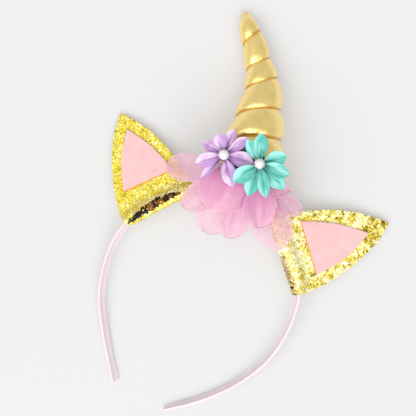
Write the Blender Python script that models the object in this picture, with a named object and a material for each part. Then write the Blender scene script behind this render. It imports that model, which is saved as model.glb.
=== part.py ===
"""A unicorn horn headband, lying flat: satin band, felt ears, stuffed horn and ribbon flowers.

The tables are in millimetres, seen from above: X runs across the ears, Y from the band's open ends
to the horn, and Z up from the table. An empty carries every piece, and puts the middle of the
whole thing over the origin.
"""

import bmesh
import bpy
import numpy as np

MM = 0.001
GAP = 0.35  # air between pieces that are glued or sewn together
CENTRE = (-0.1, -2.87, 0.43)  # middle of the finished piece in plan, and its lowest point

# Band: a flat spring in satin ribbon
BAND_HALF_WIDTH = 2.6
BAND_HALF_THICKNESS = 1.2
BAND_CORNER = (0.6, 0.55)  # how far the soft corners cut into the width and the thickness
BAND_ROWS = 62
# x, y, z of the band's middle, and the outward lean of its upper edge in degrees
BAND_ROUTE = (
    (-23.9, -125.8, 2.5, 48),
    (-32.4, -114.8, 3.0, 48),
    (-44.5, -97.7, 4.4, 47),
    (-54.9, -79.8, 6.2, 46),
    (-60.4, -60.0, 8.4, 44),
    (-61.4, -43.0, 10.2, 42),
    (-58.6, -28.0, 11.6, 40),
    (-46.4, -9.5, 13.2, 40),
    (-30.0, 7.0, 14.6, 38),
    (-15.0, 16.8, 15.4, 14),
    (0.0, 19.8, 15.6, 0),
    (15.0, 17.4, 15.4, 8),
    (27.4, 9.2, 14.6, 26),
    (42.6, -5.4, 13.2, 27),
    (57.6, -25.0, 11.6, 28),
    (61.4, -46.0, 9.4, 30),
    (58.6, -70.0, 6.8, 31),
    (47.6, -93.0, 4.8, 31),
    (29.4, -114.2, 3.3, 31),
    (11.6, -129.1, 2.7, 31),
)
BAND_TAPER = (0.62, 0.9)  # share of the full section at the last rows

# Ears: glitter felt folded round the band
EAR_BASE_HALF = 24.0
EAR_FLAT_FROM = 12.0  # height above the band where the sheet is flat
EAR_TIP_Z = 2.4
# side, x and y of the tip, start and end of the pink felt above the band, width share
EARS = (
    ("left", -92.6, 30.8, 15.3, 50.5, 0.98),
    ("right", 92.4, 39.3, 12.9, 52.6, 1.03),
)
# share of the height above the band, half width
EAR_OUTLINE = (
    (0.0, 24.4),
    (0.17, 24.2),
    (0.41, 20.9),
    (0.65, 15.4),
    (0.83, 9.2),
    (0.95, 3.4),
    (1.0, 0.7),
)
# height above the band, half thickness of the folded sheet
EAR_SLEEVE = (
    (-2.55, 2.1),
    (-2.2, 3.2),
    (-1.2, 3.9),
    (0.7, 3.95),
    (2.3, 3.3),
    (4.6, 2.0),
    (7.5, 1.2),
    (11.0, 1.0),
)
EAR_FOLD_FROM = 0.3  # below this height the sheet reaches on to its fold, which is straight
EAR_SAG = (2.5, -0.6)  # height over which the fold's slope turns down, and its least share of the lean
EAR_UPPER_ROWS = (0.3, 0.42, 0.54, 0.65, 0.75, 0.84, 0.91, 0.96, 1.0)  # share of the height
EAR_MARGIN = 9.0  # how far the tunnel runs on past each side of the ear
# share of the pink felt's length, half width
FELT_OUTLINE = ((0.0, 18.2), (0.3, 15.0), (0.62, 9.9), (0.88, 3.8), (1.0, 0.6))
FELT_ROWS = (0.0, 0.16, 0.34, 0.52, 0.7, 0.86, 0.95, 1.0)  # share of the length
FELT_THICKNESS = 1.0

# Horn: stuffed metallic cloth, wound with a cord
HORN_COLUMNS = 22
# x, y, z of the axis, radius over the ridges
HORN_AXIS = (
    (-2.0, 21.4, 17.4, 13.0),
    (-2.8, 28.0, 19.0, 17.6),
    (-4.6, 36.5, 19.95, 19.9),
    (-6.8, 45.0, 20.05, 20.15),
    (-8.9, 54.6, 18.45, 18.3),
    (-11.2, 63.5, 16.85, 16.6),
    (-14.0, 72.3, 14.7, 14.2),
    (-17.4, 83.1, 12.9, 12.4),
    (-23.6, 92.7, 10.5, 9.9),
    (-29.6, 100.6, 9.4, 8.7),
    (-35.0, 107.6, 8.7, 7.9),
    (-41.3, 114.8, 7.4, 6.4),
    (-46.3, 121.0, 5.0, 3.6),
    (-47.6, 122.9, 4.7, 2.6),
)
# distance from the base along the axis, turns of the cord counted from the tip
CORD_TURNS = (
    (0.0, 6.6),
    (14.5, 6.0),
    (33.5, 5.0),
    (51.4, 4.0),
    (69.8, 3.0),
    (83.4, 2.0),
    (102.0, 1.0),
    (115.0, 0.35),
)
FRONT_SHARE = (0.52, 0.36)  # share of a turn that the cord climbs on the front, at base and tip
GROOVE_DEPTH = 0.15  # share of the radius
RIDGE_STEPS = (0.0, 0.13, 0.27, 0.42, 0.58, 0.73, 0.87)  # rows over one ridge
RIDGE_FULLNESS = 0.8  # below 1 the ridges are plumper
CORD_RADIUS = 0.55
CORD_SEAT = (0.3, 0.03)  # air under the cord in its groove, and its growth with the radius
CORD_ENDS = (0.5, 6.35)  # first and last turn, from the tip

# Chiffon petals: one surface drapes from the root, and each petal lies on its own layer over it
DRAPE_CENTRE = (-9.0, 27.0)
DRAPE_LOW = 17.5
DRAPE_RISE = 17.8
DRAPE_REACH = 31.0
PETAL_THICKNESS = 1.0
LAYER = PETAL_THICKNESS + GAP
PETAL_STATIONS = (0.0, 0.13, 0.28, 0.43, 0.57, 0.7, 0.81, 0.9, 0.96, 0.995)
PETAL_ROOT_SHARE = 0.35  # half width at the root, as a share of the widest
DROOP_FROM = 0.55  # share of the length past which a petal droops from its layer
# name, root x and y, tip x and y, width, share of the length where it is widest, layer, droop
CHIFFON_PETALS = (
    ("over_left_ear", -14.0, 25.0, -52.3, 15.6, 20.6, 0.70, 2, 9.0),
    ("beside_left_ear", -12.0, 24.0, -32.6, -7.6, 21.0, 0.66, 1, 0.0),
    ("front_left", -12.0, 28.5, -15.4, 0.0, 31.0, 0.50, 3, 0.0),
    ("low_front", -10.0, 21.0, -14.0, -13.0, 26.0, 0.64, 0, 0.0),
    ("middle_front", -2.0, 24.0, 4.6, -13.2, 19.0, 0.62, 2, 0.0),
    ("front_right", 3.0, 27.5, 15.4, 1.6, 20.6, 0.55, 4, 0.0),
    ("small_right", 8.0, 28.5, 24.6, 31.4, 10.0, 0.45, 3, 0.0),
    ("behind_right_ear", 10.0, 24.2, 38.4, 25.6, 9.4, 0.60, 0, 7.0),
    ("over_right_ear", 4.0, 24.0, 35.0, -5.6, 24.6, 0.62, 1, 0.6),
)

# Flowers: satin ribbon petals round a pearl, glued on an oval felt pad
PAD_CENTRE = (-11.0, 36.0)
PAD_HALF = (18.5, 10.5)
PAD_SIDES = 24
PAD_BOTTOM = 40.7
PAD_THICKNESS = 1.5
PEARL_RADIUS = 3.25
RIBBON_ROOT = 3.65
RIBBON_STATIONS = (0.0, 0.14, 0.3, 0.45, 0.6, 0.76, 0.9, 1.0)
RIBBON_WIDEST = 0.55
RIBBON_PINCH = 0.2  # width at the pearl, as a share of the widest
RIBBON_POINT = (0.95, 1.7)  # share of the width lost at the tip, and how late it is lost
RIBBON_RISE = 2.4  # how far the rim lifts on the side away from the other flower
RIM = 18.0
# name, centre x and y, lowest layer, pearl's height over the pad, side that lifts
FLOWERS = (
    ("lilac", -21.7, 32.8, 0, 3.6, -1.0),
    ("mint", -0.1, 36.7, 2, 5.2, 1.0),
)
# direction in degrees from +X, length, half width, extra layer
RIBBON_PETALS = {
    "lilac": (
        (13.0, 15.4, 4.6, 0),
        (61.0, 17.6, 3.6, 1),
        (93.0, 16.7, 3.8, 0),
        (133.0, 13.0, 4.6, 1),
        (175.0, 14.2, 3.8, 0),
        (221.5, 17.7, 4.4, 1),
        (251.0, 19.7, 3.0, 0),
        (311.0, 19.8, 4.8, 0),
    ),
    "mint": (
        (141.0, 16.6, 3.4, 0),
        (111.0, 18.4, 4.4, 1),
        (41.6, 16.8, 4.8, 0),
        (4.5, 18.8, 4.6, 1),
        (-19.8, 21.0, 4.6, 0),
        (-54.4, 20.6, 4.0, 1),
        (-85.0, 20.2, 4.4, 0),
        (-122.0, 18.8, 4.9, 1),
    ),
}

# red, green, blue (linear), roughness, metallic
FINISHES = {
    "pink_satin": (0.76, 0.60, 0.64, 0.42, 0.0),
    "gold_glitter": (0.62, 0.47, 0.08, 0.35, 0.7),
    "pink_felt": (0.93, 0.61, 0.61, 0.9, 0.0),
    "gold_leatherette": (0.74, 0.53, 0.19, 0.34, 0.8),
    "gold_cord": (0.70, 0.42, 0.03, 0.45, 0.3),
    "dark_felt": (0.05, 0.06, 0.07, 0.95, 0.0),
    "pink_chiffon": (0.87, 0.50, 0.63, 0.7, 0.0),
    "lilac_satin": (0.60, 0.40, 0.66, 0.4, 0.0),
    "mint_satin": (0.24, 0.68, 0.60, 0.4, 0.0),
    "pearl": (0.78, 0.76, 0.76, 0.2, 0.1),
}

UP = np.array([0.0, 0.0, 1.0])


def clear_scene():
    for item in list(bpy.data.objects):
        bpy.data.objects.remove(item, do_unlink=True)


def finish(name):
    """The named finish as a material, made once."""
    made = bpy.data.materials.get(name)
    if made:
        return made
    red, green, blue, roughness, metallic = FINISHES[name]
    made = bpy.data.materials.new(name)
    made.use_nodes = True
    shader = made.node_tree.nodes["Principled BSDF"]
    shader.inputs["Base Color"].default_value = (red, green, blue, 1.0)
    shader.inputs["Roughness"].default_value = roughness
    shader.inputs["Metallic"].default_value = metallic
    made.diffuse_color = (red, green, blue, 1.0)
    return made


def unit(vectors):
    return vectors / np.linalg.norm(vectors, axis=-1, keepdims=True)


def ease(share):
    """A smooth step from 0 to 1."""
    share = np.clip(share, 0.0, 1.0)
    return share * share * (3.0 - 2.0 * share)


def smooth(table, at):
    """A cubic curve through a table whose first column is the parameter."""
    table = np.asarray(table, float)
    knots, values = table[:, 0], table[:, 1:]
    at = np.clip(np.atleast_1d(at), knots[0], knots[-1])
    slopes = np.gradient(values, knots, axis=0)
    i = np.clip(np.searchsorted(knots, at, side="right") - 1, 0, len(knots) - 2)
    span = (knots[i + 1] - knots[i])[:, None]
    t = (at - knots[i])[:, None] / span
    return (
        (2 * t**3 - 3 * t**2 + 1) * values[i]
        + (t**3 - 2 * t**2 + t) * span * slopes[i]
        + (3 * t**2 - 2 * t**3) * values[i + 1]
        + (t**3 - t**2) * span * slopes[i + 1]
    )


def by_distance(rows):
    """The rows of a route with the distance along it as a new first column."""
    rows = np.asarray(rows, float)
    steps = np.linalg.norm(np.diff(rows[:, :3], axis=0), axis=1)
    return np.column_stack([np.r_[0.0, np.cumsum(steps)], rows])


def tangents(table, at, step=0.5):
    return unit(smooth(table, at + step)[:, :3] - smooth(table, at - step)[:, :3])


def add_object(name, mesh, material, parent, sharp=40.0):
    """An object whose faces point outwards, shaded smooth up to the sharp angle."""
    shape = bmesh.new()
    shape.from_mesh(mesh)
    bmesh.ops.remove_doubles(shape, verts=shape.verts, dist=1e-6)
    bmesh.ops.recalc_face_normals(shape, faces=shape.faces)
    shape.to_mesh(mesh)
    shape.free()
    mesh.shade_smooth()
    mesh.set_sharp_from_angle(angle=np.radians(sharp))
    mesh.materials.append(finish(material))
    made = bpy.data.objects.new(name, mesh)
    bpy.context.collection.objects.link(made)
    made.parent = parent
    return made


def loft(name, rows, material, parent, flat_ends=True, climb=0):
    """A closed body through a stack of equal loops of points in millimetres.

    A flat end is zipped across its loop, first point to last. A round one is a single face. Where
    the loops wind, the last point of one meets the first point of the loop that lies climb further.
    """
    count, loop = rows.shape[:2]
    grid = np.arange(count * loop).reshape(count, loop)
    before = np.roll(grid, 1, axis=1)
    before[:, 0] = grid[np.clip(np.arange(count) - climb, 0, None), -1]
    quads = np.stack([before[:-1], grid[:-1], grid[1:], before[1:]], axis=-1)
    faces = quads.reshape(-1, 4).tolist()
    for end in (grid[0].tolist(), grid[-1].tolist()):
        if flat_ends:
            faces += [(end[j], end[-1 - j], end[-2 - j], end[j + 1]) for j in range(loop // 2 - 1)]
        else:
            faces.append(end)
    mesh = bpy.data.meshes.new(name)
    mesh.from_pydata((rows.reshape(-1, 3) * MM).tolist(), [], faces)
    return add_object(name, mesh, material, parent)


def walls(top, bottom):
    """Loops round a sheet: across its upper side and back along its lower side."""
    return np.concatenate([top, bottom[:, ::-1]], axis=1)


class BandLine:
    """The band's middle line, with its upper edge's direction and its outer face's."""

    def __init__(self):
        self.table = by_distance(BAND_ROUTE)
        self.length = self.table[-1, 0]

    def at(self, distance):
        here = smooth(self.table, distance)
        tangent = tangents(self.table, np.atleast_1d(distance))
        upright = unit(UP - tangent * (tangent @ UP)[:, None])
        outward = np.cross(upright, tangent)
        lean = np.radians(here[:, 3])[:, None]
        edge = upright * np.cos(lean) + outward * np.sin(lean)
        return here[:, :3], edge, np.cross(edge, tangent)


def band_section(line, distances, grow, scale):
    """Rectangles with soft corners across the band, one for each distance."""
    half_w, half_t = BAND_HALF_WIDTH + grow, BAND_HALF_THICKNESS + grow
    soft_w, soft_t = half_w - BAND_CORNER[0], half_t - BAND_CORNER[1]
    quarter = [(soft_w, half_t), (half_w, soft_t)]
    right = quarter + [(w, -t) for w, t in reversed(quarter)]
    corners = np.array(right + [(-w, -t) for w, t in right])
    middle, edge, face = line.at(distances)
    across = corners[None, :, :1] * edge[:, None]
    through = corners[None, :, 1:] * face[:, None]
    return middle[:, None] + scale[:, None, None] * (across + through)


def make_band(line, distances, parent):
    scale = np.ones(len(distances))
    ends = len(BAND_TAPER)
    scale[:ends] = BAND_TAPER
    scale[-ends:] = BAND_TAPER[::-1]
    loft("headband_hoop", band_section(line, distances, 0.0, scale), "pink_satin", parent)


class Ear:
    """The middle surface of an ear's folded sheet.

    It leaves the band square to the band's face, levels off by EAR_FLAT_FROM, and then runs flat
    to the tip. On the inner side of the band it sags to a fold, which is straight from end to end.
    """

    def __init__(self, line, tip_x, tip_y, width):
        self.line, self.width = line, width
        distances = np.linspace(0.0, line.length, 2000)
        points, _, faces = line.at(distances)
        to_tip = np.array([tip_x, tip_y]) - points[:, :2]
        side = unit(faces[:, :2])
        off_square = np.abs(side[:, 0] * to_tip[:, 1] - side[:, 1] * to_tip[:, 0])
        off_square[np.sum(side * to_tip, axis=1) < 0] = np.inf
        nearest = int(np.argmin(off_square))
        self.middle = distances[nearest]
        self.base = points[nearest]
        self.out = unit(np.array([*to_tip[nearest], 0.0]))
        ends, _, _ = line.at(self.middle + np.array([-EAR_BASE_HALF, EAR_BASE_HALF]))
        across = ends[1] - ends[0]
        self.across = unit(across - self.out * (across @ self.out))
        self.fold_ends = ends
        self.shape_profile(np.linalg.norm(to_tip[nearest]), line.at([self.middle])[1][0])

    def shape_profile(self, plan_length, edge):
        """The sheet's slope from the band's lean to its rest angle, added up to reach and fall."""
        lean = np.arcsin(np.linalg.norm(edge[:2]))
        rest = (self.base[2] - lean * EAR_FLAT_FROM / 3 - EAR_TIP_Z) / plan_length
        self.heights, step = np.linspace(-12.0, plan_length + 4.0, 900, retstep=True)
        curl = np.clip(1 - self.heights / EAR_FLAT_FROM, 0, 1) ** 2
        turn_length, least = EAR_SAG
        sag = np.clip(1 + self.heights / turn_length, least, 1)
        self.angles = (rest + (lean - rest) * curl) * sag
        reach = np.cumsum(np.cos(self.angles)) * step
        fall = np.cumsum(np.sin(self.angles)) * step
        self.reach = reach - np.interp(0.0, self.heights, reach)
        self.fall = fall - np.interp(0.0, self.heights, fall)
        self.height = np.interp(plan_length, self.reach, self.heights)

    def half_width(self, heights):
        return self.width * smooth(EAR_OUTLINE, heights / self.height)[:, 0]

    def surface(self, heights, across):
        """Points and upward normals, one row for each height, with a column for each step across."""
        rows, columns = across.shape
        height = np.repeat(heights, columns)
        sideways = across.reshape(-1)
        points, _, faces = self.line.at(self.middle + sideways)
        share = np.clip(sideways / EAR_BASE_HALF, -1, 1)[:, None] / 2 + 0.5
        fold = self.fold_ends[0] * (1 - share) + self.fold_ends[1] * share
        bow = np.clip((points - fold) @ self.out, 0, None)
        nose = EAR_FOLD_FROM - EAR_SLEEVE[0][0]
        below = np.minimum(height - EAR_FOLD_FROM, 0)
        height = height + below * bow / nose
        flatness = ease(height / EAR_FLAT_FROM)[:, None]
        straight = self.base + self.across * sideways[:, None]
        start = points * (1 - flatness) + straight * flatness
        outward = unit(faces * [1, 1, 0])
        outward = unit(outward * (1 - flatness) + self.out * flatness)
        reach, fall, angle = (
            np.interp(height, self.heights, values)[:, None]
            for values in (self.reach, self.fall, self.angles)
        )
        surface = start + outward * reach - UP * fall
        normal = outward * np.sin(angle) + UP * np.cos(angle)
        return surface.reshape(rows, columns, 3), normal.reshape(rows, columns, 3)


def make_ear(side, ear, line, distances, parent):
    """The folded glitter sheet, with a tunnel through its fold for the band."""
    lower = np.array([row[0] for row in EAR_SLEEVE])
    heights = np.r_[lower, np.array(EAR_UPPER_ROWS) * ear.height]
    half = ear.half_width(np.clip(heights, 0, None))
    across = half[:, None] * np.linspace(-1, 1, 9)
    middle, normal = ear.surface(heights, across)
    thick = smooth(EAR_SLEEVE, heights)[:, :, None]
    rows = walls(middle + normal * thick, middle - normal * thick)
    body = loft(f"{side}_ear", rows, "gold_glitter", parent)
    inside = distances[np.abs(distances - ear.middle) < EAR_BASE_HALF + EAR_MARGIN]
    tunnel_rows = band_section(line, inside, GAP, np.ones(len(inside)))
    tunnel = loft(f"{side}_ear_tunnel", tunnel_rows, "gold_glitter", parent)
    tunnel.hide_render = True
    tunnel.display_type = "WIRE"
    cut = body.modifiers.new("band tunnel", "BOOLEAN")
    cut.operation = "DIFFERENCE"
    cut.object = tunnel


def make_ear_felt(side, ear, start, end, parent):
    """The pink felt patch, glued flat on the ear's front."""
    share = np.array(FELT_ROWS)
    half = smooth(FELT_OUTLINE, share)
    heights = start + share * (end - start)
    surface, normal = ear.surface(heights, half * np.linspace(-1, 1, 5))
    low = EAR_SLEEVE[-1][1] + GAP
    rows = walls(surface + normal * (low + FELT_THICKNESS), surface + normal * low)
    loft(f"{side}_ear_felt", rows, "pink_felt", parent)


class HornShape:
    """The wound horn's surface, by distance from its base and angle round its axis.

    The angle is 0 on the right side, a quarter turn on top and half a turn on the left. The phase
    counts the cord's turns from the tip: it is a whole number in the groove.
    """

    def __init__(self):
        self.table = by_distance(HORN_AXIS)
        self.length = self.table[-1, 0]

    def phase(self, distance, angle):
        turns = smooth(CORD_TURNS, distance)[:, 0]
        front = np.interp(distance, [0.0, self.length], FRONT_SHARE)
        climbed = angle / (2 * np.pi) - (0.5 - front) * 0.5 * (1 - np.cos(angle))
        return turns - climbed

    def distance(self, phase, angle):
        """Where on the line of one angle the phase is reached, held between the two ends."""
        trial = np.linspace(self.length, 0.0, 600)
        return np.interp(phase, self.phase(trial, np.full(600, angle)), trial)

    def point(self, distance, angle, in_groove):
        """Points on the padded ridges, or at the cord's middle over the groove's floor."""
        here = smooth(self.table, distance)
        tangent = tangents(self.table, distance)
        side = unit(np.cross(tangent, UP))
        top = np.cross(side, tangent)
        radius = here[:, 3] * (1 - GROOVE_DEPTH)
        if in_groove:
            radius = radius + CORD_RADIUS + CORD_SEAT[0] + CORD_SEAT[1] * here[:, 3]
        else:
            ridge = np.abs(np.sin(np.pi * self.phase(distance, angle))) ** RIDGE_FULLNESS
            radius = radius + here[:, 3] * GROOVE_DEPTH * ridge
        spoke = side * np.cos(angle)[:, None] + top * np.sin(angle)[:, None]
        return here[:, :3] + spoke * radius[:, None]


def make_horn(shape, parent):
    """Rows follow the winding, and those past an end fold into that end's rim."""
    phases = [turn + step for turn in range(-1, 7) for step in RIDGE_STEPS] + [7.0]
    angles = np.linspace(0, 2 * np.pi, HORN_COLUMNS, endpoint=False)
    distances = np.column_stack([shape.distance(np.array(phases), angle) for angle in angles])
    grid_angles = np.tile(angles, len(phases))
    points = shape.point(distances.reshape(-1), grid_angles, False)
    rows = points.reshape(len(phases), HORN_COLUMNS, 3)
    climb = len(RIDGE_STEPS)
    loft("horn", rows, "gold_leatherette", parent, flat_ends=False, climb=climb)


def make_horn_cord(shape, parent):
    """A thin cord along the groove, with a point over every column of the horn."""
    first, last = (round(turn * HORN_COLUMNS) for turn in CORD_ENDS)
    steps = np.arange(first, last + 1)
    turns = steps // HORN_COLUMNS
    angles = (steps % HORN_COLUMNS) * 2 * np.pi / HORN_COLUMNS
    distances = np.array([shape.distance(turn, angle) for turn, angle in zip(turns, angles)])
    route = shape.point(distances, angles, True)
    tangent = unit(np.gradient(route, axis=0))
    spoke = unit(route - smooth(shape.table, distances)[:, :3])
    spoke = unit(spoke - tangent * np.sum(spoke * tangent, axis=1)[:, None])
    third = np.cross(tangent, spoke)
    turn = np.linspace(0, 2 * np.pi, 6, endpoint=False)[None, :, None]
    ring = spoke[:, None] * np.cos(turn) + third[:, None] * np.sin(turn)
    loft("horn_cord", route[:, None] + CORD_RADIUS * ring, "gold_cord", parent)


def drape(points):
    """Height of the surface under the chiffon petals: a soft bell round the root."""
    radius = np.linalg.norm(points - DRAPE_CENTRE, axis=-1)
    return DRAPE_LOW + DRAPE_RISE * np.exp(-((radius / DRAPE_REACH) ** 2))


def make_chiffon_petal(name, root, tip, width, widest, layer, droop, parent):
    """A round petal: narrow at the root, widest part way, and half an ellipse at the tip."""
    share = np.array(PETAL_STATIONS)
    swell = PETAL_ROOT_SHARE + (1 - PETAL_ROOT_SHARE) * np.sin(share / widest * np.pi / 2)
    round_tip = np.sqrt(1 - np.clip((share - widest) / (1 - widest), 0, 1) ** 2)
    half = width / 2 * np.where(share < widest, swell, round_tip)
    root, tip = np.array(root), np.array(tip)
    along = unit(tip - root)
    sideways = np.array([along[1], -along[0]])
    spine = root + share[:, None] * (tip - root)
    plan = spine[:, None] + (half[:, None] * np.linspace(-1, 1, 5))[:, :, None] * sideways
    sag = droop * np.clip((share - DROOP_FROM) / (1 - DROOP_FROM), 0, 1) ** 2
    low = drape(plan) + layer * LAYER - sag[:, None]
    bottom = np.dstack([plan, low])
    rows = walls(bottom + UP * PETAL_THICKNESS, bottom)
    loft(f"chiffon_petal_{name}", rows, "pink_chiffon", parent)


def make_pad(parent):
    angle = np.linspace(0, 2 * np.pi, PAD_SIDES, endpoint=False)
    rim = np.column_stack([np.cos(angle), np.sin(angle)]) * PAD_HALF + PAD_CENTRE
    low = np.column_stack([rim, np.full(PAD_SIDES, PAD_BOTTOM)])
    loft("flower_pad", np.array([low, low + UP * PAD_THICKNESS]), "dark_felt", parent)


def make_ribbon_petal(name, centre, direction, length, half_width, layer, lifts, material, parent):
    """A ribbon petal seen flat: pinched at the pearl, broad past the middle, pointed at the tip."""
    share = np.array(RIBBON_STATIONS)
    swell = RIBBON_PINCH + (1 - RIBBON_PINCH) * ease(share / RIBBON_WIDEST)
    past = np.clip((share - RIBBON_WIDEST) / (1 - RIBBON_WIDEST), 0, 1)
    point = 1 - RIBBON_POINT[0] * past ** RIBBON_POINT[1]
    half = half_width * np.where(share < RIBBON_WIDEST, swell, point)
    along = np.array([np.cos(np.radians(direction)), np.sin(np.radians(direction))])
    sideways = np.array([along[1], -along[0]])
    spine = (RIBBON_ROOT + share * (length - RIBBON_ROOT))[:, None] * along
    arm = spine[:, None] + (half[:, None] * np.linspace(-1, 1, 3))[:, :, None] * sideways
    away = np.clip(lifts * arm[:, :, 0], 0, None) * np.linalg.norm(arm, axis=-1)
    low = PAD_BOTTOM + PAD_THICKNESS + GAP + layer * LAYER + RIBBON_RISE * away / RIM**2
    bottom = np.dstack([arm + centre, low])
    loft(name, walls(bottom + UP * PETAL_THICKNESS, bottom), material, parent)


def make_pearl(name, centre, height, parent):
    mesh = bpy.data.meshes.new(name)
    shape = bmesh.new()
    bmesh.ops.create_uvsphere(shape, u_segments=14, v_segments=9, radius=PEARL_RADIUS * MM)
    middle = np.array([*centre, PAD_BOTTOM + PAD_THICKNESS + height]) * MM
    bmesh.ops.translate(shape, verts=shape.verts, vec=middle.tolist())
    shape.to_mesh(mesh)
    shape.free()
    add_object(name, mesh, "pearl", parent, sharp=80.0)


def main():
    clear_scene()
    headband = bpy.data.objects.new("headband", None)
    bpy.context.collection.objects.link(headband)
    headband.location = [-value * MM for value in CENTRE]

    line = BandLine()
    distances = np.linspace(0.0, line.length, BAND_ROWS)
    make_band(line, distances, headband)
    for side, tip_x, tip_y, felt_start, felt_end, width in EARS:
        ear = Ear(line, tip_x, tip_y, width)
        make_ear(side, ear, line, distances, headband)
        make_ear_felt(side, ear, felt_start, felt_end, headband)

    horn = HornShape()
    make_horn(horn, headband)
    make_horn_cord(horn, headband)
    for name, root_x, root_y, tip_x, tip_y, *shape in CHIFFON_PETALS:
        make_chiffon_petal(name, (root_x, root_y), (tip_x, tip_y), *shape, headband)

    make_pad(headband)
    for name, x, y, lowest, pearl_height, lifts in FLOWERS:
        make_pearl(f"{name}_pearl", (x, y), pearl_height, headband)
        for number, (direction, length, half, extra) in enumerate(RIBBON_PETALS[name], 1):
            petal = f"{name}_petal_{number}"
            layer = lowest + extra
            make_ribbon_petal(
                petal, (x, y), direction, length, half, layer, lifts, f"{name}_satin", headband
            )


main()
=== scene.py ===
"""Looks of a unicorn horn headband that lies flat on a pale table.

Tables are in millimetres, seen from above: X runs across the ears, Y from the hoop's open ends to the
horn, and Z up. Every finished mesh is in metres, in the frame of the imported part.
"""

import bmesh
import bpy
import numpy as np
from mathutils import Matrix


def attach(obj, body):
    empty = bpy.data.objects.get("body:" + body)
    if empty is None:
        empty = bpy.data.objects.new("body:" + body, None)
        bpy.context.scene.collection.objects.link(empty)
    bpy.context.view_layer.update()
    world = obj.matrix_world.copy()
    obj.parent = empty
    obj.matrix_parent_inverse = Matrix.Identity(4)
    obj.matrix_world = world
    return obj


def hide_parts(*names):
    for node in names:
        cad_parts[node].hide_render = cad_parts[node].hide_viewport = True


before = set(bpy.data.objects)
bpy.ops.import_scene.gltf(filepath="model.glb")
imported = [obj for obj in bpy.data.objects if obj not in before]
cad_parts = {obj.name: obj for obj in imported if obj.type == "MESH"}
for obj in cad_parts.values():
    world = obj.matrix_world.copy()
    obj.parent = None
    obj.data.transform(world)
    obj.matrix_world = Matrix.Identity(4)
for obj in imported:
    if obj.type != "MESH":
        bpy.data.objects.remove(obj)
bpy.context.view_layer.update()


# Hoop
# A flat spring of steel, bent to fit a head and hidden in pale pink satin ribbon. The ribbon is folded
# round it, glued along the inner face with one edge over the other, and turned in at both ends.
MM = 0.001
TABLES_AT = np.array([0.1, 2.87, -0.43])  # where the tables' origin lies in the frame
UP = np.array([0.0, 0.0, 1.0])
# x, y, z of the hoop's middle, and the outward lean of its upper edge in degrees
HOOP_ROUTE = (
    (-23.9, -125.8, 2.5, 48),
    (-32.4, -114.8, 3.0, 48),
    (-44.5, -97.7, 4.4, 47),
    (-54.9, -79.8, 6.2, 46),
    (-60.4, -60.0, 8.4, 44),
    (-61.4, -43.0, 10.2, 42),
    (-58.6, -28.0, 11.6, 40),
    (-46.4, -9.5, 13.2, 40),
    (-30.0, 7.0, 14.6, 38),
    (-15.0, 16.8, 15.4, 14),
    (0.0, 19.8, 15.6, 0),
    (15.0, 17.4, 15.4, 8),
    (27.4, 9.2, 14.6, 26),
    (42.6, -5.4, 13.2, 27),
    (57.6, -25.0, 11.6, 28),
    (61.4, -46.0, 9.4, 30),
    (58.6, -70.0, 6.8, 31),
    (47.6, -93.0, 4.8, 31),
    (29.4, -114.2, 3.3, 31),
    (11.6, -129.1, 2.7, 31),
)
HOOP_HALF_WIDTH = 2.6
HOOP_HALF_THICKNESS = 1.2
HOOP_PIPING = 0.3  # how much the folded edges stand over the ribbon's flat middle
HOOP_LAP = (0.12, 0.16)  # share of the half width where the upper layer of ribbon ends, its thickness
HOOP_ENDS = (1.0, 3.0)  # length over which the left end and the right end round off
HOOP_TUCK = (3.5, 3.0, 0.12)  # place, spread and height of the swelling where the ribbon is turned in
HOOP_TAPER = (14.0, 0.2)  # length over which the right end narrows, and by what share
HOOP_ROWS = 560
HOOP_COLUMNS = 23


def unit(vectors):
    return vectors / np.linalg.norm(vectors, axis=-1, keepdims=True)


def ease(share):
    """A smooth step: three times the share squared, less twice its cube."""
    share = np.clip(share, 0.0, 1.0)
    return share * share * (3.0 - 2.0 * share)


def curve(table, at):
    """A cubic Hermite curve through a table whose first column is the parameter."""
    table = np.asarray(table, float)
    knots, values = table[:, 0], table[:, 1:]
    at = np.clip(np.atleast_1d(at), knots[0], knots[-1])
    slopes = np.gradient(values, knots, axis=0)
    i = np.clip(np.searchsorted(knots, at, side="right") - 1, 0, len(knots) - 2)
    span = (knots[i + 1] - knots[i])[..., None]
    t = (at - knots[i])[..., None] / span
    return (
        (2 * t**3 - 3 * t**2 + 1) * values[i]
        + (t**3 - 2 * t**2 + t) * span * slopes[i]
        + (3 * t**2 - 2 * t**3) * values[i + 1]
        + (t**3 - t**2) * span * slopes[i + 1]
    )


def with_distance(rows):
    """The rows of a route, with the distance travelled as a new first column."""
    rows = np.asarray(rows, float)
    steps = np.linalg.norm(np.diff(rows[:, :3], axis=0), axis=1)
    return np.column_stack([np.r_[0.0, np.cumsum(steps)], rows])


def heading(table, at):
    """Direction of a route, from half a millimetre behind a place to half a millimetre past it."""
    return unit(curve(table, at + 0.5)[..., :3] - curve(table, at - 0.5)[..., :3])


def soft_noise(x, y, seed):
    """Smooth bumps from -1 to 1: random heights at the corners of unit squares, eased in between."""
    size = 64
    heights = np.random.default_rng(seed).uniform(-1, 1, (size, size))
    i, j = np.floor(x).astype(int), np.floor(y).astype(int)
    p, q = ease(x - i), ease(y - j)
    near = heights[i % size, j % size] * (1 - q) + heights[i % size, (j + 1) % size] * q
    far = heights[(i + 1) % size, j % size] * (1 - q) + heights[(i + 1) % size, (j + 1) % size] * q
    return near * (1 - p) + far * p


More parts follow.
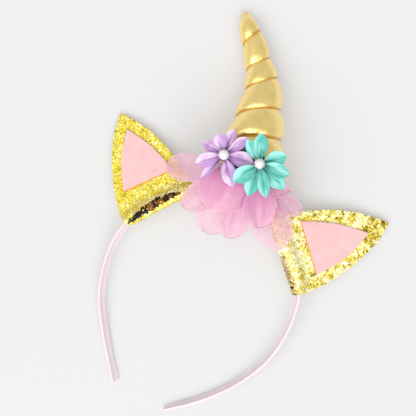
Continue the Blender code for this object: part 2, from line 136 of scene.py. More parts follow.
def surface(name, grid, wrap, ends=None, marks=None):
    """A mesh over a grid of points in table millimetres.

    Quads join neighbours, and close each row into a loop where it wraps. Ends are left open, closed
    by a face, or zipped across the loop, first point to last. The map named cloth holds the
    millimetres travelled along the grid and across it, and each mark is an attribute of the points.
    """
    rows, columns = grid.shape[:2]
    i, j = np.meshgrid(np.arange(rows - 1), np.arange(columns - (not wrap)), indexing="ij")
    down = np.stack([i, i, i + 1, i + 1], axis=-1).reshape(-1, 4)
    across = np.stack([j, j + 1, j + 1, j], axis=-1).reshape(-1, 4)
    faces = (down * columns + across % columns).tolist()
    middle = grid.mean(axis=1)
    travel = np.r_[0.0, np.cumsum(np.linalg.norm(np.diff(middle, axis=0), axis=1))]
    loop = np.vstack([grid[rows // 2], grid[rows // 2, :1]])
    round_it = np.r_[0.0, np.cumsum(np.linalg.norm(np.diff(loop, axis=0), axis=1))]
    corners = np.stack([travel[down], round_it[across]], axis=-1).reshape(-1, 2)
    for end in ([0, rows - 1] if ends else []):
        loop = np.arange(columns) + end * columns
        if ends == "face":
            faces.append(loop.tolist())
            corners = np.vstack([corners, np.zeros((columns, 2))])
        else:
            k = np.arange(columns // 2 - 1)
            zipped = np.stack([loop[k], loop[-1 - k], loop[-2 - k], loop[k + 1]], axis=-1)
            faces += zipped.tolist()
            corners = np.vstack([corners, np.full((zipped.size, 2), travel[end])])
    mesh = bpy.data.meshes.new(name)
    mesh.from_pydata(((grid.reshape(-1, 3) + TABLES_AT) * MM).tolist(), [], faces)
    mesh.uv_layers.new(name="cloth").data.foreach_set("uv", corners.ravel())
    for mark, values in (marks or {}).items():
        values = np.broadcast_to(values, (rows, columns)).astype(np.float32)
        mesh.attributes.new(mark, "FLOAT", "POINT").data.foreach_set("value", values.ravel())
    if wrap:
        turned = bmesh.new()
        turned.from_mesh(mesh)
        bmesh.ops.recalc_face_normals(turned, faces=turned.faces)
        turned.to_mesh(mesh)
        turned.free()
    mesh.shade_smooth()
    return mesh


def add_piece(name, mesh, material):
    piece = bpy.data.objects.new(name, mesh)
    bpy.context.scene.collection.objects.link(piece)
    mesh.materials.append(material)
    return piece


def put(tree, kind, inputs=None, **settings):
    """A node with its settings, whose inputs are values or other nodes' sockets."""
    made = tree.nodes.new(kind)
    for key, value in settings.items():
        setattr(made, key, value)
    for key, value in (inputs or {}).items():
        if isinstance(value, bpy.types.NodeSocket):
            tree.links.new(value, made.inputs[key])
        else:
            made.inputs[key].default_value = value
    return made


def mixed(tree, share, first, second):
    """The colour between two others."""
    return put(tree, "ShaderNodeMix", {0: share, 6: first, 7: second}, data_type="RGBA").outputs[2]


def reached(tree, value, low, high):
    """How far a value has come from low to high, from 0 to 1."""
    inputs = {"Value": value, "From Min": low, "From Max": high}
    return put(tree, "ShaderNodeMapRange", inputs).outputs["Result"]


def mark_of(tree, name):
    return put(tree, "ShaderNodeAttribute", attribute_name=name).outputs["Fac"]


def on_object(tree):
    return put(tree, "ShaderNodeTexCoord").outputs["Object"]


def on_cloth(tree):
    """Millimetres along and across the cloth."""
    return put(tree, "ShaderNodeUVMap", uv_map="cloth").outputs["UV"]


def colour(red, green, blue):
    """Screen values from 0 to 255 as linear light."""
    share = np.array([red, green, blue]) / 255
    linear = np.where(share <= 0.04045, share / 12.92, ((share + 0.055) / 1.055) ** 2.4)
    return (*linear.tolist(), 1.0)


def new_finish(name, constants):
    """A material with its shader, whose constants are named as its sockets are."""
    material = bpy.data.materials.new(name)
    material.use_nodes = True
    tree = material.node_tree
    shader = tree.nodes["Principled BSDF"]
    for key, value in constants.items():
        shader.inputs[key].default_value = value
    return material, tree, shader


def bumped(tree, shader, height, distance, strength):
    """Feeds a height through a bump into the shader's normal."""
    inputs = {"Height": height, "Distance": distance, "Strength": strength}
    tree.links.new(put(tree, "ShaderNodeBump", inputs).outputs["Normal"], shader.inputs["Normal"])


def new_group(name, inputs, outputs):
    """An empty node group: inputs and outputs are pairs of a name and a kind of socket."""
    tree = bpy.data.node_groups.new(name, "ShaderNodeTree")
    for label, kind in inputs:
        tree.interface.new_socket(label, in_out="INPUT", socket_type="NodeSocket" + kind)
    for label, kind in outputs:
        tree.interface.new_socket(label, in_out="OUTPUT", socket_type="NodeSocket" + kind)
    return tree, tree.nodes.new("NodeGroupInput"), tree.nodes.new("NodeGroupOutput")


def build_satin_threads():
    """Threads of satin: fine ribs across the ribbon, and long soft streaks along it, painted as sheen."""
    tree, given, result = new_group(
        "satin_threads",
        [("Cloth", "Vector"), ("Ribs", "Float")],
        [("Height", "Float"), ("Sheen Streak", "Float")],
    )
    cloth = given.outputs["Cloth"]
    ribs = {"Vector": cloth, "Scale": given.outputs["Ribs"], "Distortion": 0.6, "Detail": 1.0}
    rib = put(tree, "ShaderNodeTexWave", ribs, wave_type="BANDS", bands_direction="X")
    drawn = put(tree, "ShaderNodeMapping", {"Vector": cloth, "Scale": (0.09, 2.2, 1.0)})
    sheen_streak = put(tree, "ShaderNodeTexNoise", {"Vector": drawn.outputs[0], "Scale": 1.0, "Detail": 3.0})
    tree.links.new(rib.outputs["Fac"], result.inputs["Height"])
    tree.links.new(sheen_streak.outputs["Fac"], result.inputs["Sheen Streak"])
    return tree


satin_threads = build_satin_threads()


def satin_finish(name, light, middle, deep, roughness=0.36):
    """Satin ribbon: painted sheen in streaks between two tones, painted light on the side that faces
    the light, and painted shade deep in its creases.
    """
    constants = {"Roughness": roughness, "Sheen Weight": 0.15, "Anisotropic": 0.4}
    material, tree, shader = new_finish(name, constants)
    inputs = {"Cloth": on_cloth(tree), "Ribs": 0.9}
    threads = put(tree, "ShaderNodeGroup", inputs, node_tree=satin_threads)
    # Painted sheen: the streaks, and the painted lit side in the mark named fold, mix the middle tone
    # towards the light one.
    sheen_streak = reached(tree, threads.outputs["Sheen Streak"], 0.3, 0.7)
    sheen = {0: sheen_streak, 1: -0.3, 2: mark_of(tree, "fold")}
    sheen = put(tree, "ShaderNodeMath", sheen, operation="MULTIPLY_ADD").outputs[0]
    base = mixed(tree, reached(tree, sheen, 0.0, 0.75), middle, light)
    # Painted shade: the crease mark mixes in the deep tone.
    tree.links.new(mixed(tree, mark_of(tree, "crease_shade"), base, deep), shader.inputs["Base Color"])
    bumped(tree, shader, threads.outputs["Height"], 0.00004, 0.35)
    return material


HOOP = with_distance(HOOP_ROUTE)
HOOP_LENGTH = HOOP[-1, 0]


def hoop_frame(distance):
    """The hoop's middle, the direction of its upper edge, and that of its outer face.

    The upper edge is the upright, leaned outwards by the route's angle. The outer face is square to
    the edge and to the route.
    """
    here = curve(HOOP, distance)
    along = heading(HOOP, distance)
    upright = unit(UP - along * (along @ UP)[..., None])
    outward = np.cross(upright, along)
    lean = np.radians(here[..., 3])[..., None]
    edge = upright * np.cos(lean) + outward * np.sin(lean)
    return here[..., :3], edge, np.cross(edge, along)


def hoop_surface():
    """The wrapped spring, as loops along its route.

    Across a face, the half thickness is that of the flat middle plus a bell at each folded edge, and
    falls to nothing as the tenth power of the share of the width. The inner face has the lap of the
    ribbon, and puckers where the ribbon was pulled tight.
    """
    close_left = np.linspace(0, HOOP_ENDS[0], 10)
    close_right = HOOP_LENGTH - np.linspace(0, HOOP_ENDS[1], 14)
    distance = np.unique(np.r_[close_left, np.linspace(0, HOOP_LENGTH, HOOP_ROWS), close_right])
    middle, edge, face = hoop_frame(distance)
    x = np.sin(np.linspace(-np.pi / 2, np.pi / 2, HOOP_COLUMNS))
    bell = np.exp(-(((np.abs(x) - 0.8) / 0.15) ** 2))
    thickness = (HOOP_HALF_THICKNESS - HOOP_PIPING + HOOP_PIPING * bell) * np.sqrt(1 - x**10)
    lap = HOOP_LAP[1] * ease((x - HOOP_LAP[0]) / 0.08) * (np.abs(x) < 0.999)
    puckers = soft_noise(distance[:, None] / 2.6 + x * 1.4, x * 0.9 + 9, 3) * 0.07 * (1 - x**4)
    outer = thickness + 0.4 * puckers
    inner = thickness + lap + puckers * np.sqrt(1 - x**10)
    across = np.r_[x, x[-2:0:-1]]
    through = np.hstack([outer, -inner[:, -2:0:-1]])
    left = np.sqrt(1 - (1 - np.clip(distance / HOOP_ENDS[0], 0.02, 1)) ** 2)
    right = np.sqrt(1 - (1 - np.clip((HOOP_LENGTH - distance) / HOOP_ENDS[1], 0.02, 1)) ** 2)
    place, spread, height = HOOP_TUCK
    tuck = 1 + height * np.exp(-(((distance - place) / spread) ** 2))
    taper, loss = HOOP_TAPER
    narrow = 1 - loss + loss * ease((HOOP_LENGTH - distance) / taper)
    size = (left * right * narrow * tuck)[:, None, None]
    wide = across[None, :, None] * HOOP_HALF_WIDTH * edge[:, None]
    return middle[:, None] + size * (wide + through[:, :, None] * face[:, None])


hoop_grid = hoop_surface()
hoop_satin = satin_finish(
    "pink_satin_ribbon", colour(234, 219, 225), colour(210, 188, 197), colour(190, 156, 170)
)
# The hoop has no painted crease shade, and a fixed share of painted lit side in the mark named fold.
hoop_mesh = surface("satin_hoop", hoop_grid, wrap=True, ends="face", marks={"crease_shade": 0.0, "fold": 0.6})
satin_hoop = add_piece("satin_hoop", hoop_mesh, hoop_satin)
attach(satin_hoop, "root")
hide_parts("headband_hoop")


# Ears
# Each ear is one piece of felt coated with gold glitter, folded in half round the hoop and glued to
# itself. The fold rolls over the hoop's edge, and the cut edges show the felt's two layers.
EAR_BASE_HALF = 24.0
EAR_FLAT_FROM = 12.0  # height above the hoop where the sheet is flat
EAR_TIP_Z = 2.4
EAR_OUTLINE = (
    (0.0, 24.4),
    (0.17, 24.2),
    (0.41, 20.9),
    (0.65, 15.4),
    (0.83, 9.2),
    (0.95, 3.4),
    (1.0, 0.7),
)
# height above the hoop, half thickness of the folded sheet
EAR_BODY = ((0.3, 3.95), (2.3, 3.3), (4.6, 2.0), (7.5, 1.2), (11.0, 1.0), (90.0, 1.0))
EAR_NOSE = 2.85  # how far the fold rolls past the height where it is thickest
EAR_SAG = (2.5, -0.6)  # height over which the fold's slope turns down, and its least share of the lean
EAR_WALL = 0.95
EAR_SIDE = 0.1  # distance from the outline's widest place to the first and last station
EAR_STATIONS = 110  # from side to side
EAR_STEPS = 46  # from the cut edge down to the fold
EAR_NOSE_STEPS = 10
FOLD_LONGEST = 90.0  # height to which the fold's line is drawn, past any ear's tip
FOLD_REACH = 5.4  # distance from the fold within which flakes lie twice as densely
FLAKE_SIZE = (0.22, 0.5)
FLAKE_DENSITY = 4.0  # for each square millimetre
FLAKE_TILT = 0.26
FLAKE_STEP = 0.2  # distance over which the surface's slope is taken
FLAKE_STEM = 0.3  # depth of the apex under the plate
FLAKE_PAINTED_LIGHT = 0.22  # how much lighter the flakes beside the hoop are painted, as light on the curve
FLAKE_STRAYS = 0.07  # share of the flakes that stay bright in the shaded part
LENS_MIDDLE = (0.7, 4.3)  # distance of the lens of painted shade from the fold, least and added
LENS_HALF = (0.2, 2.5)  # its half width, least and added
LENS_ENDS = (0.02, 0.85)  # where it starts and ends, as shares of the fold
LENS_BROWN = (0.6, 0.24)  # middle and half length of its brown blocks of painted shade
CREST_HALF = 1.7  # half width of the painted sparkle along its upper edge
ROLL_WIDTH = 3.2  # width of the brown painted shade on the right ear's roll
ROLL_START = 0.4  # where it comes out from under the petal, as a share of the fold


class Ear:
    """The middle surface of an ear's folded sheet.

    It leaves the hoop square to the hoop's face, levels off by EAR_FLAT_FROM, and then runs flat to
    the tip. On the inner side of the hoop it sags to a fold, which is straight from end to end.
    """

    def __init__(self, tip, width, drift, reach_on):
        self.drift = drift
        distance = np.linspace(0.0, HOOP_LENGTH, 2000)
        points, _, faces = hoop_frame(distance)
        to_tip = np.array(tip) - points[:, :2]
        side = unit(faces[:, :2])
        off_square = np.abs(side[:, 0] * to_tip[:, 1] - side[:, 1] * to_tip[:, 0])
        off_square[np.sum(side * to_tip, axis=1) < 0] = np.inf
        nearest = int(np.argmin(off_square))
        self.middle = distance[nearest]
        self.base = points[nearest]
        self.out = unit(np.array([*to_tip[nearest], 0.0]))
        ends, _, _ = hoop_frame(self.middle + np.array([-EAR_BASE_HALF, EAR_BASE_HALF]))
        across = ends[1] - ends[0]
        self.across = unit(across - self.out * (across @ self.out))
        self.fold_ends = ends - self.out * np.array(reach_on)[:, None]
        reach_needed = np.linalg.norm(to_tip[nearest])
        _, edge, _ = hoop_frame(np.array([self.middle]))
        lean = np.arcsin(np.linalg.norm(edge[0, :2]))
        rest = (self.base[2] - lean * EAR_FLAT_FROM / 3 - EAR_TIP_Z) / reach_needed
        self.heights, step = np.linspace(-12.0, reach_needed + 4.0, 900, retstep=True)
        curl = np.clip(1 - self.heights / EAR_FLAT_FROM, 0, 1) ** 2
        turn_length, least = EAR_SAG
        self.angles = (rest + (lean - rest) * curl) * np.clip(1 + self.heights / turn_length, least, 1)
        reach = np.cumsum(np.cos(self.angles)) * step
        fall = np.cumsum(np.sin(self.angles)) * step
        self.reach = reach - np.interp(0.0, self.heights, reach)
        self.fall = fall - np.interp(0.0, self.heights, fall)
        self.height = np.interp(reach_needed, self.reach, self.heights)
        share = np.linspace(0, 1, 400)
        half = width * curve(EAR_OUTLINE, share)[:, 0]
        shift = self.shift(share * self.height)
        sides = np.r_[shift - half, (shift + half)[::-1]]
        self.outline = (sides, np.r_[share, share[::-1]] * self.height)

    def shift(self, height):
        """How far the outline has drifted sideways at a height."""
        return np.interp(height, [0.0, self.height], self.drift)

    def top(self, sideways):
        """Height of the cut edge over a place across the ear."""
        return np.interp(sideways, *self.outline)

    def middle_surface(self, height, sideways):
        """Points on the sheet's middle and its upward normals, for arrays of equal shape."""
        points, _, faces = hoop_frame(self.middle + sideways)
        share = np.clip(sideways / EAR_BASE_HALF, -1, 1)[..., None] / 2 + 0.5
        fold = self.fold_ends[0] * (1 - share) + self.fold_ends[1] * share
        bow = np.clip((points - fold) @ self.out, 0, None)
        height = height + np.minimum(height - EAR_BODY[0][0], 0) * bow / EAR_NOSE
        flatness = ease(height / EAR_FLAT_FROM)[..., None]
        straight = self.base + self.across * sideways[..., None]
        start = points * (1 - flatness) + straight * flatness
        outward = unit(faces * [1, 1, 0])
        outward = unit(outward * (1 - flatness) + self.out * flatness)
        reach = np.interp(height, self.heights, self.reach)[..., None]
        fall = np.interp(height, self.heights, self.fall)[..., None]
        angle = np.interp(height, self.heights, self.angles)[..., None]
        normal = outward * np.sin(angle) + UP * np.cos(angle)
        return start + outward * reach - UP * fall, normal

    def outer(self, place, sideways):
        """The glittered side: place is the distance from the fold, negative on the back."""
        height, offset = (np.interp(place, FOLD_PLACES, values) for values in FOLD_LINE)
        points, normal = self.middle_surface(height, sideways)
        return points + normal * offset[..., None]


def fold_line(top, wall):
    """Height and offset round the fold, from the front's cut edge to the back's.

    Over the hoop it is half an ellipse, and above that it follows the half thickness of the sheet.
    The inner line is the same, closer by the thickness of the felt.
    """
    share = np.linspace(1, 0, EAR_STEPS, endpoint=False) ** 1.4
    height = EAR_BODY[0][0] + share * (top - EAR_BODY[0][0])
    body = np.maximum(curve(EAR_BODY, height)[..., 0] - wall, 0.04)
    turn = np.linspace(0, np.pi, 2 * EAR_NOSE_STEPS + 1)
    nose_height = EAR_BODY[0][0] - (EAR_NOSE - wall) * np.sin(turn)
    nose = (EAR_BODY[0][1] - wall) * np.cos(turn)
    return np.r_[height, nose_height, height[::-1]], np.r_[body, nose, -body[::-1]]


# heights and offsets from the back's cut edge to the front's, and their distance from the fold
FOLD_LINE = np.array(fold_line(FOLD_LONGEST, 0.0))[:, ::-1]
FOLD_PLACES = np.r_[0, np.cumsum(np.hypot(*np.diff(FOLD_LINE)))]
FOLD_PLACES = FOLD_PLACES - FOLD_PLACES[-1] / 2


def ear_sheet(ear):
    """The folded felt: at each station across the ear, the outer fold line and back along the inner."""
    first, last = ear.outline[0][[0, -1]]
    stations = np.linspace(first + EAR_SIDE, last - EAR_SIDE, EAR_STATIONS)
    loops = []
    for top in ear.top(stations):
        outer, inner = fold_line(top, 0.0), fold_line(top, EAR_WALL)
        loops.append((np.r_[outer[0], inner[0][::-1]], np.r_[outer[1], inner[1][::-1]]))
    height, offset = np.swapaxes(np.array(loops), 0, 1)
    sideways = np.repeat(stations[:, None], height.shape[1], axis=1)
    points, normal = ear.middle_surface(height, sideways)
    return points + normal * offset[:, :, None], offset, sideways


def from_fold(ear, points, sideways):
    """Distance of the points from the fold, seen from above."""
    lowest = np.full(sideways.shape, EAR_BODY[0][0] - EAR_NOSE)
    return (points - ear.middle_surface(lowest, sideways)[0]) @ ear.out


def left_shading(ear, points, sideways, seed):
    """Painted shade in a lens where the front slopes down to the fold, and painted sparkle along its
    upper edge.

    The lens follows two sine curves along the fold, one for its middle and one for its half width,
    and its edges are ragged. Its painted shade is black, with brown blocks on the side of the fold.
    """
    along = np.clip(sideways / (2 * EAR_BASE_HALF) + 0.5, 0, 1)
    ragged = soft_noise(points[..., 0] / 0.8, points[..., 1] / 0.8, seed)
    patchy = soft_noise(points[..., 0] / 1.7, points[..., 1] / 1.7, seed + 1)
    seen = from_fold(ear, points, sideways)
    middle = LENS_MIDDLE[0] + LENS_MIDDLE[1] * np.sin(np.pi * (0.06 + 0.8 * along))
    half = LENS_HALF[0] + LENS_HALF[1] * np.sin(np.pi * np.clip(along / 0.86, 0, 1)) ** 0.8
    off = (seen - middle) / half
    inside = ((np.abs(off) + 0.35 * ragged) < 1) * (along > LENS_ENDS[0]) * (along < LENS_ENDS[1])
    brown = (np.abs(along - LENS_BROWN[0]) < LENS_BROWN[1]) * (patchy + 0.8 * off > -0.15) * (off < 0.55)
    # Painted shade: black in the lens, brown in its blocks.
    dark = inside * np.where(brown, 0.45, 0.95)
    # Painted sparkle along the lens's upper edge.
    from_crest = np.abs(seen - middle - half - 0.7)
    crest_sparkle = np.clip(1 - from_crest / CREST_HALF, 0, 1) * ease((along - 0.3) / 0.5)
    return dark, 0.75 * crest_sparkle


def right_shading(ear, points, sideways, seed):
    """Painted shade on the roll of the fold, brown flecked with black, past the petal that covers
    its other end.
    """
    along = np.clip(sideways / (2 * EAR_BASE_HALF) + 0.5, 0, 1)
    ragged = soft_noise(points[..., 0] / 0.9, points[..., 1] / 0.9, seed)
    seen = from_fold(ear, points, sideways)
    inside = ((seen + 1.1 * ragged) < ROLL_WIDTH) * (along > ROLL_START + 0.05 * ragged)
    # Painted shade on the roll: brown, with black flecks.
    dark = inside * np.where(ragged > 0.45, 0.8, 0.22)
    return dark, 0 * dark


def scatter_flakes(ear, seed, shading, glitter):
    """Square-cut flakes over the whole outer side, each a plate on an apex sunk in the glue.

    The corners are the flake's middle plus or minus its two edge directions, which are turned at
    random in the surface and then tilted out of it. Its tone is the mean, plus slow patches and grain,
    less the fall towards the tip, and painted lighter beside the hoop as light on the curve. The flakes
    that sparkle are painted glints, with tone 1.
    """
    rng = np.random.default_rng(seed)
    first, last = ear.outline[0][[0, -1]]
    longest = ear.height + 6
    across = FLAKE_DENSITY * (last - first)
    all_over = rng.uniform(-longest, longest, int(across * 2 * longest))
    on_the_fold = rng.uniform(-FOLD_REACH, FOLD_REACH, int(across * 2 * FOLD_REACH))
    place = np.r_[all_over, on_the_fold]
    sideways = rng.uniform(first + EAR_SIDE, last - EAR_SIDE, len(place))
    height = np.interp(place, FOLD_PLACES, FOLD_LINE[0])
    kept = height < ear.top(sideways) - 0.1
    place, sideways, height = place[kept], sideways[kept], height[kept]
    count = len(place)
    offset = np.interp(place, FOLD_PLACES, FOLD_LINE[1])
    middle = ear.outer(place, sideways)
    first = unit(ear.outer(place + FLAKE_STEP, sideways) - ear.outer(place - FLAKE_STEP, sideways))
    second = unit(ear.outer(place, sideways + FLAKE_STEP) - ear.outer(place, sideways - FLAKE_STEP))
    normal = unit(np.cross(first, second))
    second = np.cross(normal, first)
    outward = np.where(offset >= 0, 1.0, -1.0)
    upright = ear.middle_surface(height, sideways)[1]
    normal = normal * np.where(np.sum(normal * upright, axis=1) * outward >= 0, 1.0, -1.0)[:, None]
    spin = rng.uniform(0, 2 * np.pi, count)[:, None]
    mean, spread, sparkle, grain, fall, coarseness = glitter
    size = coarseness * rng.uniform(*FLAKE_SIZE, count)[:, None]
    long_way = first * np.cos(spin) + second * np.sin(spin)
    short_way = np.cross(normal, long_way)
    tilt = rng.normal(0, FLAKE_TILT, (2, count, 1))
    long_way = unit(long_way + normal * tilt[0]) * size
    short_way = unit(short_way + normal * tilt[1]) * size * rng.uniform(0.6, 1.0, count)[:, None]
    middle = middle + normal * rng.uniform(0.03, 0.16, count)[:, None]
    corners = [
        middle + long_way + short_way,
        middle - long_way + short_way,
        middle - long_way - short_way,
        middle + long_way - short_way,
        middle - normal * FLAKE_STEM,
    ]
    points = np.stack(corners, axis=1).reshape(-1, 3)
    first_corner = np.arange(count)[:, None] * 5
    plates = (first_corner + [0, 1, 2, 3]).tolist()
    sides = np.array([(1, 0, 4), (2, 1, 4), (3, 2, 4), (0, 3, 4)])
    sides = (first_corner[:, None] + sides[None]).reshape(-1, 3).tolist()
    coarse = soft_noise(middle[:, 0] / 2.6, middle[:, 1] / 2.6, seed + 5)
    fine = soft_noise(middle[:, 0] / 0.8, middle[:, 1] / 0.8, seed + 6)
    tone = mean + spread * (0.6 * coarse + 0.5 * fine) + rng.normal(0, grain, count)
    loss = fall * np.clip(height / ear.height, 0, 1) ** 2
    # Painted light: the flakes on the curve beside the hoop are lighter.
    tone = tone - loss + FLAKE_PAINTED_LIGHT * np.clip(1 - height / EAR_FLAT_FROM, 0, 1)
    # The shading gives painted shade and a share of painted sparkle.
    dark, extra = shading(ear, middle, sideways, seed)
    front = offset > 0
    # Painted glints: the flakes that sparkle.
    painted_glint = rng.random(count) < sparkle * (1 + 1.5 * coarse) * (1 - 2 * loss) + extra * front
    tone = np.where(painted_glint, 1.0, np.clip(tone, 0.0, 0.94))
    dark = dark * front * (rng.random(count) > FLAKE_STRAYS)
    return points, plates + sides, np.repeat(tone, 5), np.repeat(dark, 5)


def glitter_finish(name, dark, olive, gold, light, pale):
    """Metallic film: each flake has its own tone, the palest being painted glint, and the painted
    shade of the fold goes from brown to black.
    """
    material, tree, shader = new_finish(name, {"Metallic": 0.6})
    ramp = put(tree, "ShaderNodeValToRGB", {"Fac": mark_of(tree, "tone")})
    stops = ramp.color_ramp.elements
    stops[0].position, stops[0].color = 0.0, dark
    stops[1].position, stops[1].color = 1.0, pale
    for position, shade in ((0.2, olive), (0.5, gold), (0.75, light)):
        stop = stops.new(position)
        stop.color = shade
    grain = {"Vector": on_object(tree), "Scale": 1400.0, "Detail": 2.0}
    grain = put(tree, "ShaderNodeTexNoise", grain)
    # Painted shade: the shade mark turns the flakes brown, then black.
    shade = mark_of(tree, "shade")
    base = mixed(tree, reached(tree, shade, 0.0, 0.45), ramp.outputs["Color"], colour(146, 94, 34))
    base = mixed(tree, reached(tree, shade, 0.5, 0.9), base, colour(22, 15, 8))
    tree.links.new(base, shader.inputs["Base Color"])
    tree.links.new(reached(tree, grain.outputs["Fac"], -0.6, 1.6), shader.inputs["Roughness"])
    bumped(tree, shader, grain.outputs["Fac"], 0.0001, 0.5)
    return material


def make_ear(side, ear, seed, shading, glitter, finish):
    """The folded felt of an ear, and its flakes."""
    grid, offset, sideways = ear_sheet(ear)
    dark = shading(ear, grid, sideways, seed)[0] * (offset > 0)
    mesh = surface(f"{side}_glitter_ear", grid, wrap=True, ends="zip", marks={"tone": 0.4, "shade": dark})
    piece = add_piece(f"{side}_glitter_ear", mesh, finish)
    points, faces, tone, shade_of_flake = scatter_flakes(ear, seed, shading, glitter)
    mesh = bpy.data.meshes.new(f"{side}_ear_flakes")
    mesh.from_pydata(((points + TABLES_AT) * MM).tolist(), [], faces)
    for mark, values in (("tone", tone), ("shade", shade_of_flake)):
        mesh.attributes.new(mark, "FLOAT", "POINT").data.foreach_set("value", values.astype(np.float32))
    flakes = add_piece(f"{side}_ear_flakes", mesh, finish)
    for part in (piece, flakes):
        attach(part, "root")
        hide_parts(f"{side}_ear")


# tip x and y, width, drift of the outline at base and tip, how far each end of the fold reaches on
left_ear = Ear((-92.6, 30.8), 0.98, (0.0, 0.0), (0.0, 0.0))
right_ear = Ear((91.6, 39.6), 1.03, (-2.3, 0.2), (2.2, 0.3))
# Tones from dark to pale; the pale tone is the colour of the painted glints.
left_gold = glitter_finish(
    "left_gold_glitter",
    colour(84, 70, 8),
    colour(176, 156, 26),
    colour(234, 214, 64),
    colour(246, 232, 108),
    colour(255, 255, 228),
)
right_gold = glitter_finish(
    "right_gold_glitter",
    colour(66, 46, 4),
    colour(172, 144, 18),
    colour(238, 218, 76),
    colour(250, 240, 134),
    colour(255, 255, 228),
)
# mean tone, its spread in patches, share of flakes that sparkle as painted glints, spread from flake
# to flake, how much darker the tip is, size of the flakes
make_ear("left", left_ear, 11, left_shading, (0.56, 0.26, 0.045, 0.16, 0.0, 1.0), left_gold)
make_ear("right", right_ear, 12, right_shading, (0.7, 0.62, 0.2, 0.22, 0.3, 1.25), right_gold)


# Ear felt
# The inside of each ear is a rounded triangle of pale pink felt, about a millimetre thick, glued on
# the glitter. Along the edge that faces the hoop it is painted orange, as the gold's reflection in shade.
FELT_OUTLINE = ((0.0, 18.2), (0.3, 15.0), (0.62, 9.9), (0.88, 3.8), (1.0, 0.6))
FELT_THICKNESS = 1.0
FELT_UNDER = 1.3  # distance of its underside from the ear's middle surface
FELT_BEVEL = 0.7  # length of the slope that the scissors left along the hoop's side


def build_felt_fibres():
    """Felt: matted fibres as fine noise, and a slow mottle where they lie thicker."""
    tree, given, result = new_group(
        "felt_fibres",
        [("Place", "Vector"), ("Fineness", "Float")],
        [("Height", "Float"), ("Mottle", "Float")],
    )
    place = given.outputs["Place"]
    fine = {"Vector": place, "Scale": given.outputs["Fineness"], "Detail": 6.0, "Roughness": 0.7}
    fibres = put(tree, "ShaderNodeTexNoise", fine)
    slow = put(tree, "ShaderNodeTexNoise", {"Vector": place, "Scale": 160.0, "Detail": 3.0})
    tree.links.new(fibres.outputs["Fac"], result.inputs["Height"])
    tree.links.new(slow.outputs["Fac"], result.inputs["Mottle"])
    return tree


felt_fibres = build_felt_fibres()


def felt_finish(name, light, deep):
    """Felt: mottled, with painted shade between its fibres, and along one edge a painted
    reflection of the gold.
    """
    constants = {"Roughness": 0.95, "Sheen Weight": 0.35, "Sheen Roughness": 0.6}
    material, tree, shader = new_finish(name, constants)
    inputs = {"Place": on_object(tree), "Fineness": 1500.0}
    fibres = put(tree, "ShaderNodeGroup", inputs, node_tree=felt_fibres)
    mottle = mixed(tree, reached(tree, fibres.outputs["Mottle"], 0.3, 0.7), light, deep)
    # Painted shade between the fibres, where they lie low.
    speck = reached(tree, fibres.outputs["Height"], 0.25, 0.5)
    base = mixed(tree, speck, deep, mottle)
    # Painted reflection of the gold, in shade, along the edge that faces the hoop.
    base = mixed(tree, mark_of(tree, "gold_reflection"), base, colour(226, 150, 44))
    tree.links.new(base, shader.inputs["Base Color"])
    bumped(tree, shader, fibres.outputs["Height"], 0.0002, 0.6)
    return material


def felt_surface(ear, start, end, scale, drift, skew):
    """Loops from side to side along the patch, over its upper side and back along its lower side.

    The half width follows the outline's table times the scale, the patch drifts sideways from base to
    tip, and its base is skewed. The cut edge wanders a little, and the upper side rounds down to it
    with a high power of the share of the half width.
    """
    share = np.r_[0, 0.006, 0.012, 0.018, 0.024, np.sin(np.linspace(0.03, np.pi / 2, 60))]
    x = np.sin(np.linspace(-np.pi / 2, np.pi / 2, 41))
    half = curve(FELT_OUTLINE, share) * scale * (1 + 0.008 * soft_noise(share * 30, share, 5))[:, None]
    height = np.repeat((start + share * (end - start))[:, None], len(x), axis=1)
    height = height + (0.12 * soft_noise(x * 9, x * 0, 8) + skew * x) * (1 - share[:, None]) ** 8
    points, normal = ear.middle_surface(height, half * x + np.interp(share, [0, 1], drift)[:, None])
    crown = FELT_THICKNESS * (1 - 0.3 * np.abs(x) ** 14)
    crown = crown * (1 - 0.3 * np.clip(1 - share / 0.01, 0, 1))[:, None]
    slope = np.clip(1 - share * (end - start) / FELT_BEVEL, 0, 1)[:, None] + 0 * x
    upper = points + normal * (FELT_UNDER + crown * (1 - 0.8 * slope))[:, :, None]
    lower = points + normal * FELT_UNDER
    # The painted reflection of the gold goes on the bevel along the hoop's side.
    gold_reflection = np.hstack([slope, slope]) > 0.05
    return np.concatenate([upper, lower[:, ::-1]], axis=1), gold_reflection


pink_felt = felt_finish("pale_pink_felt", colour(232, 187, 186), colour(224, 174, 175))
# side, ear, height of its base and tip, scale, drift at base and tip, skew
FELT_PATCHES = (
    ("left", left_ear, 15.3, 51.0, 0.94, (-0.2, 0.0), 0.6),
    ("right", right_ear, 12.9, 52.6, 0.99, (-2.6, 1.6), -0.95),
)
for side, ear, start, end, *form in FELT_PATCHES:
    grid, gold_reflection = felt_surface(ear, start, end, *form)
    mesh = surface(f"{side}_felt_patch", grid, wrap=True, ends="zip", marks={"gold_reflection": gold_reflection})
    patch = add_piece(f"{side}_felt_patch", mesh, pink_felt)
    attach(patch, "root")
    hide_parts(f"{side}_ear_felt")


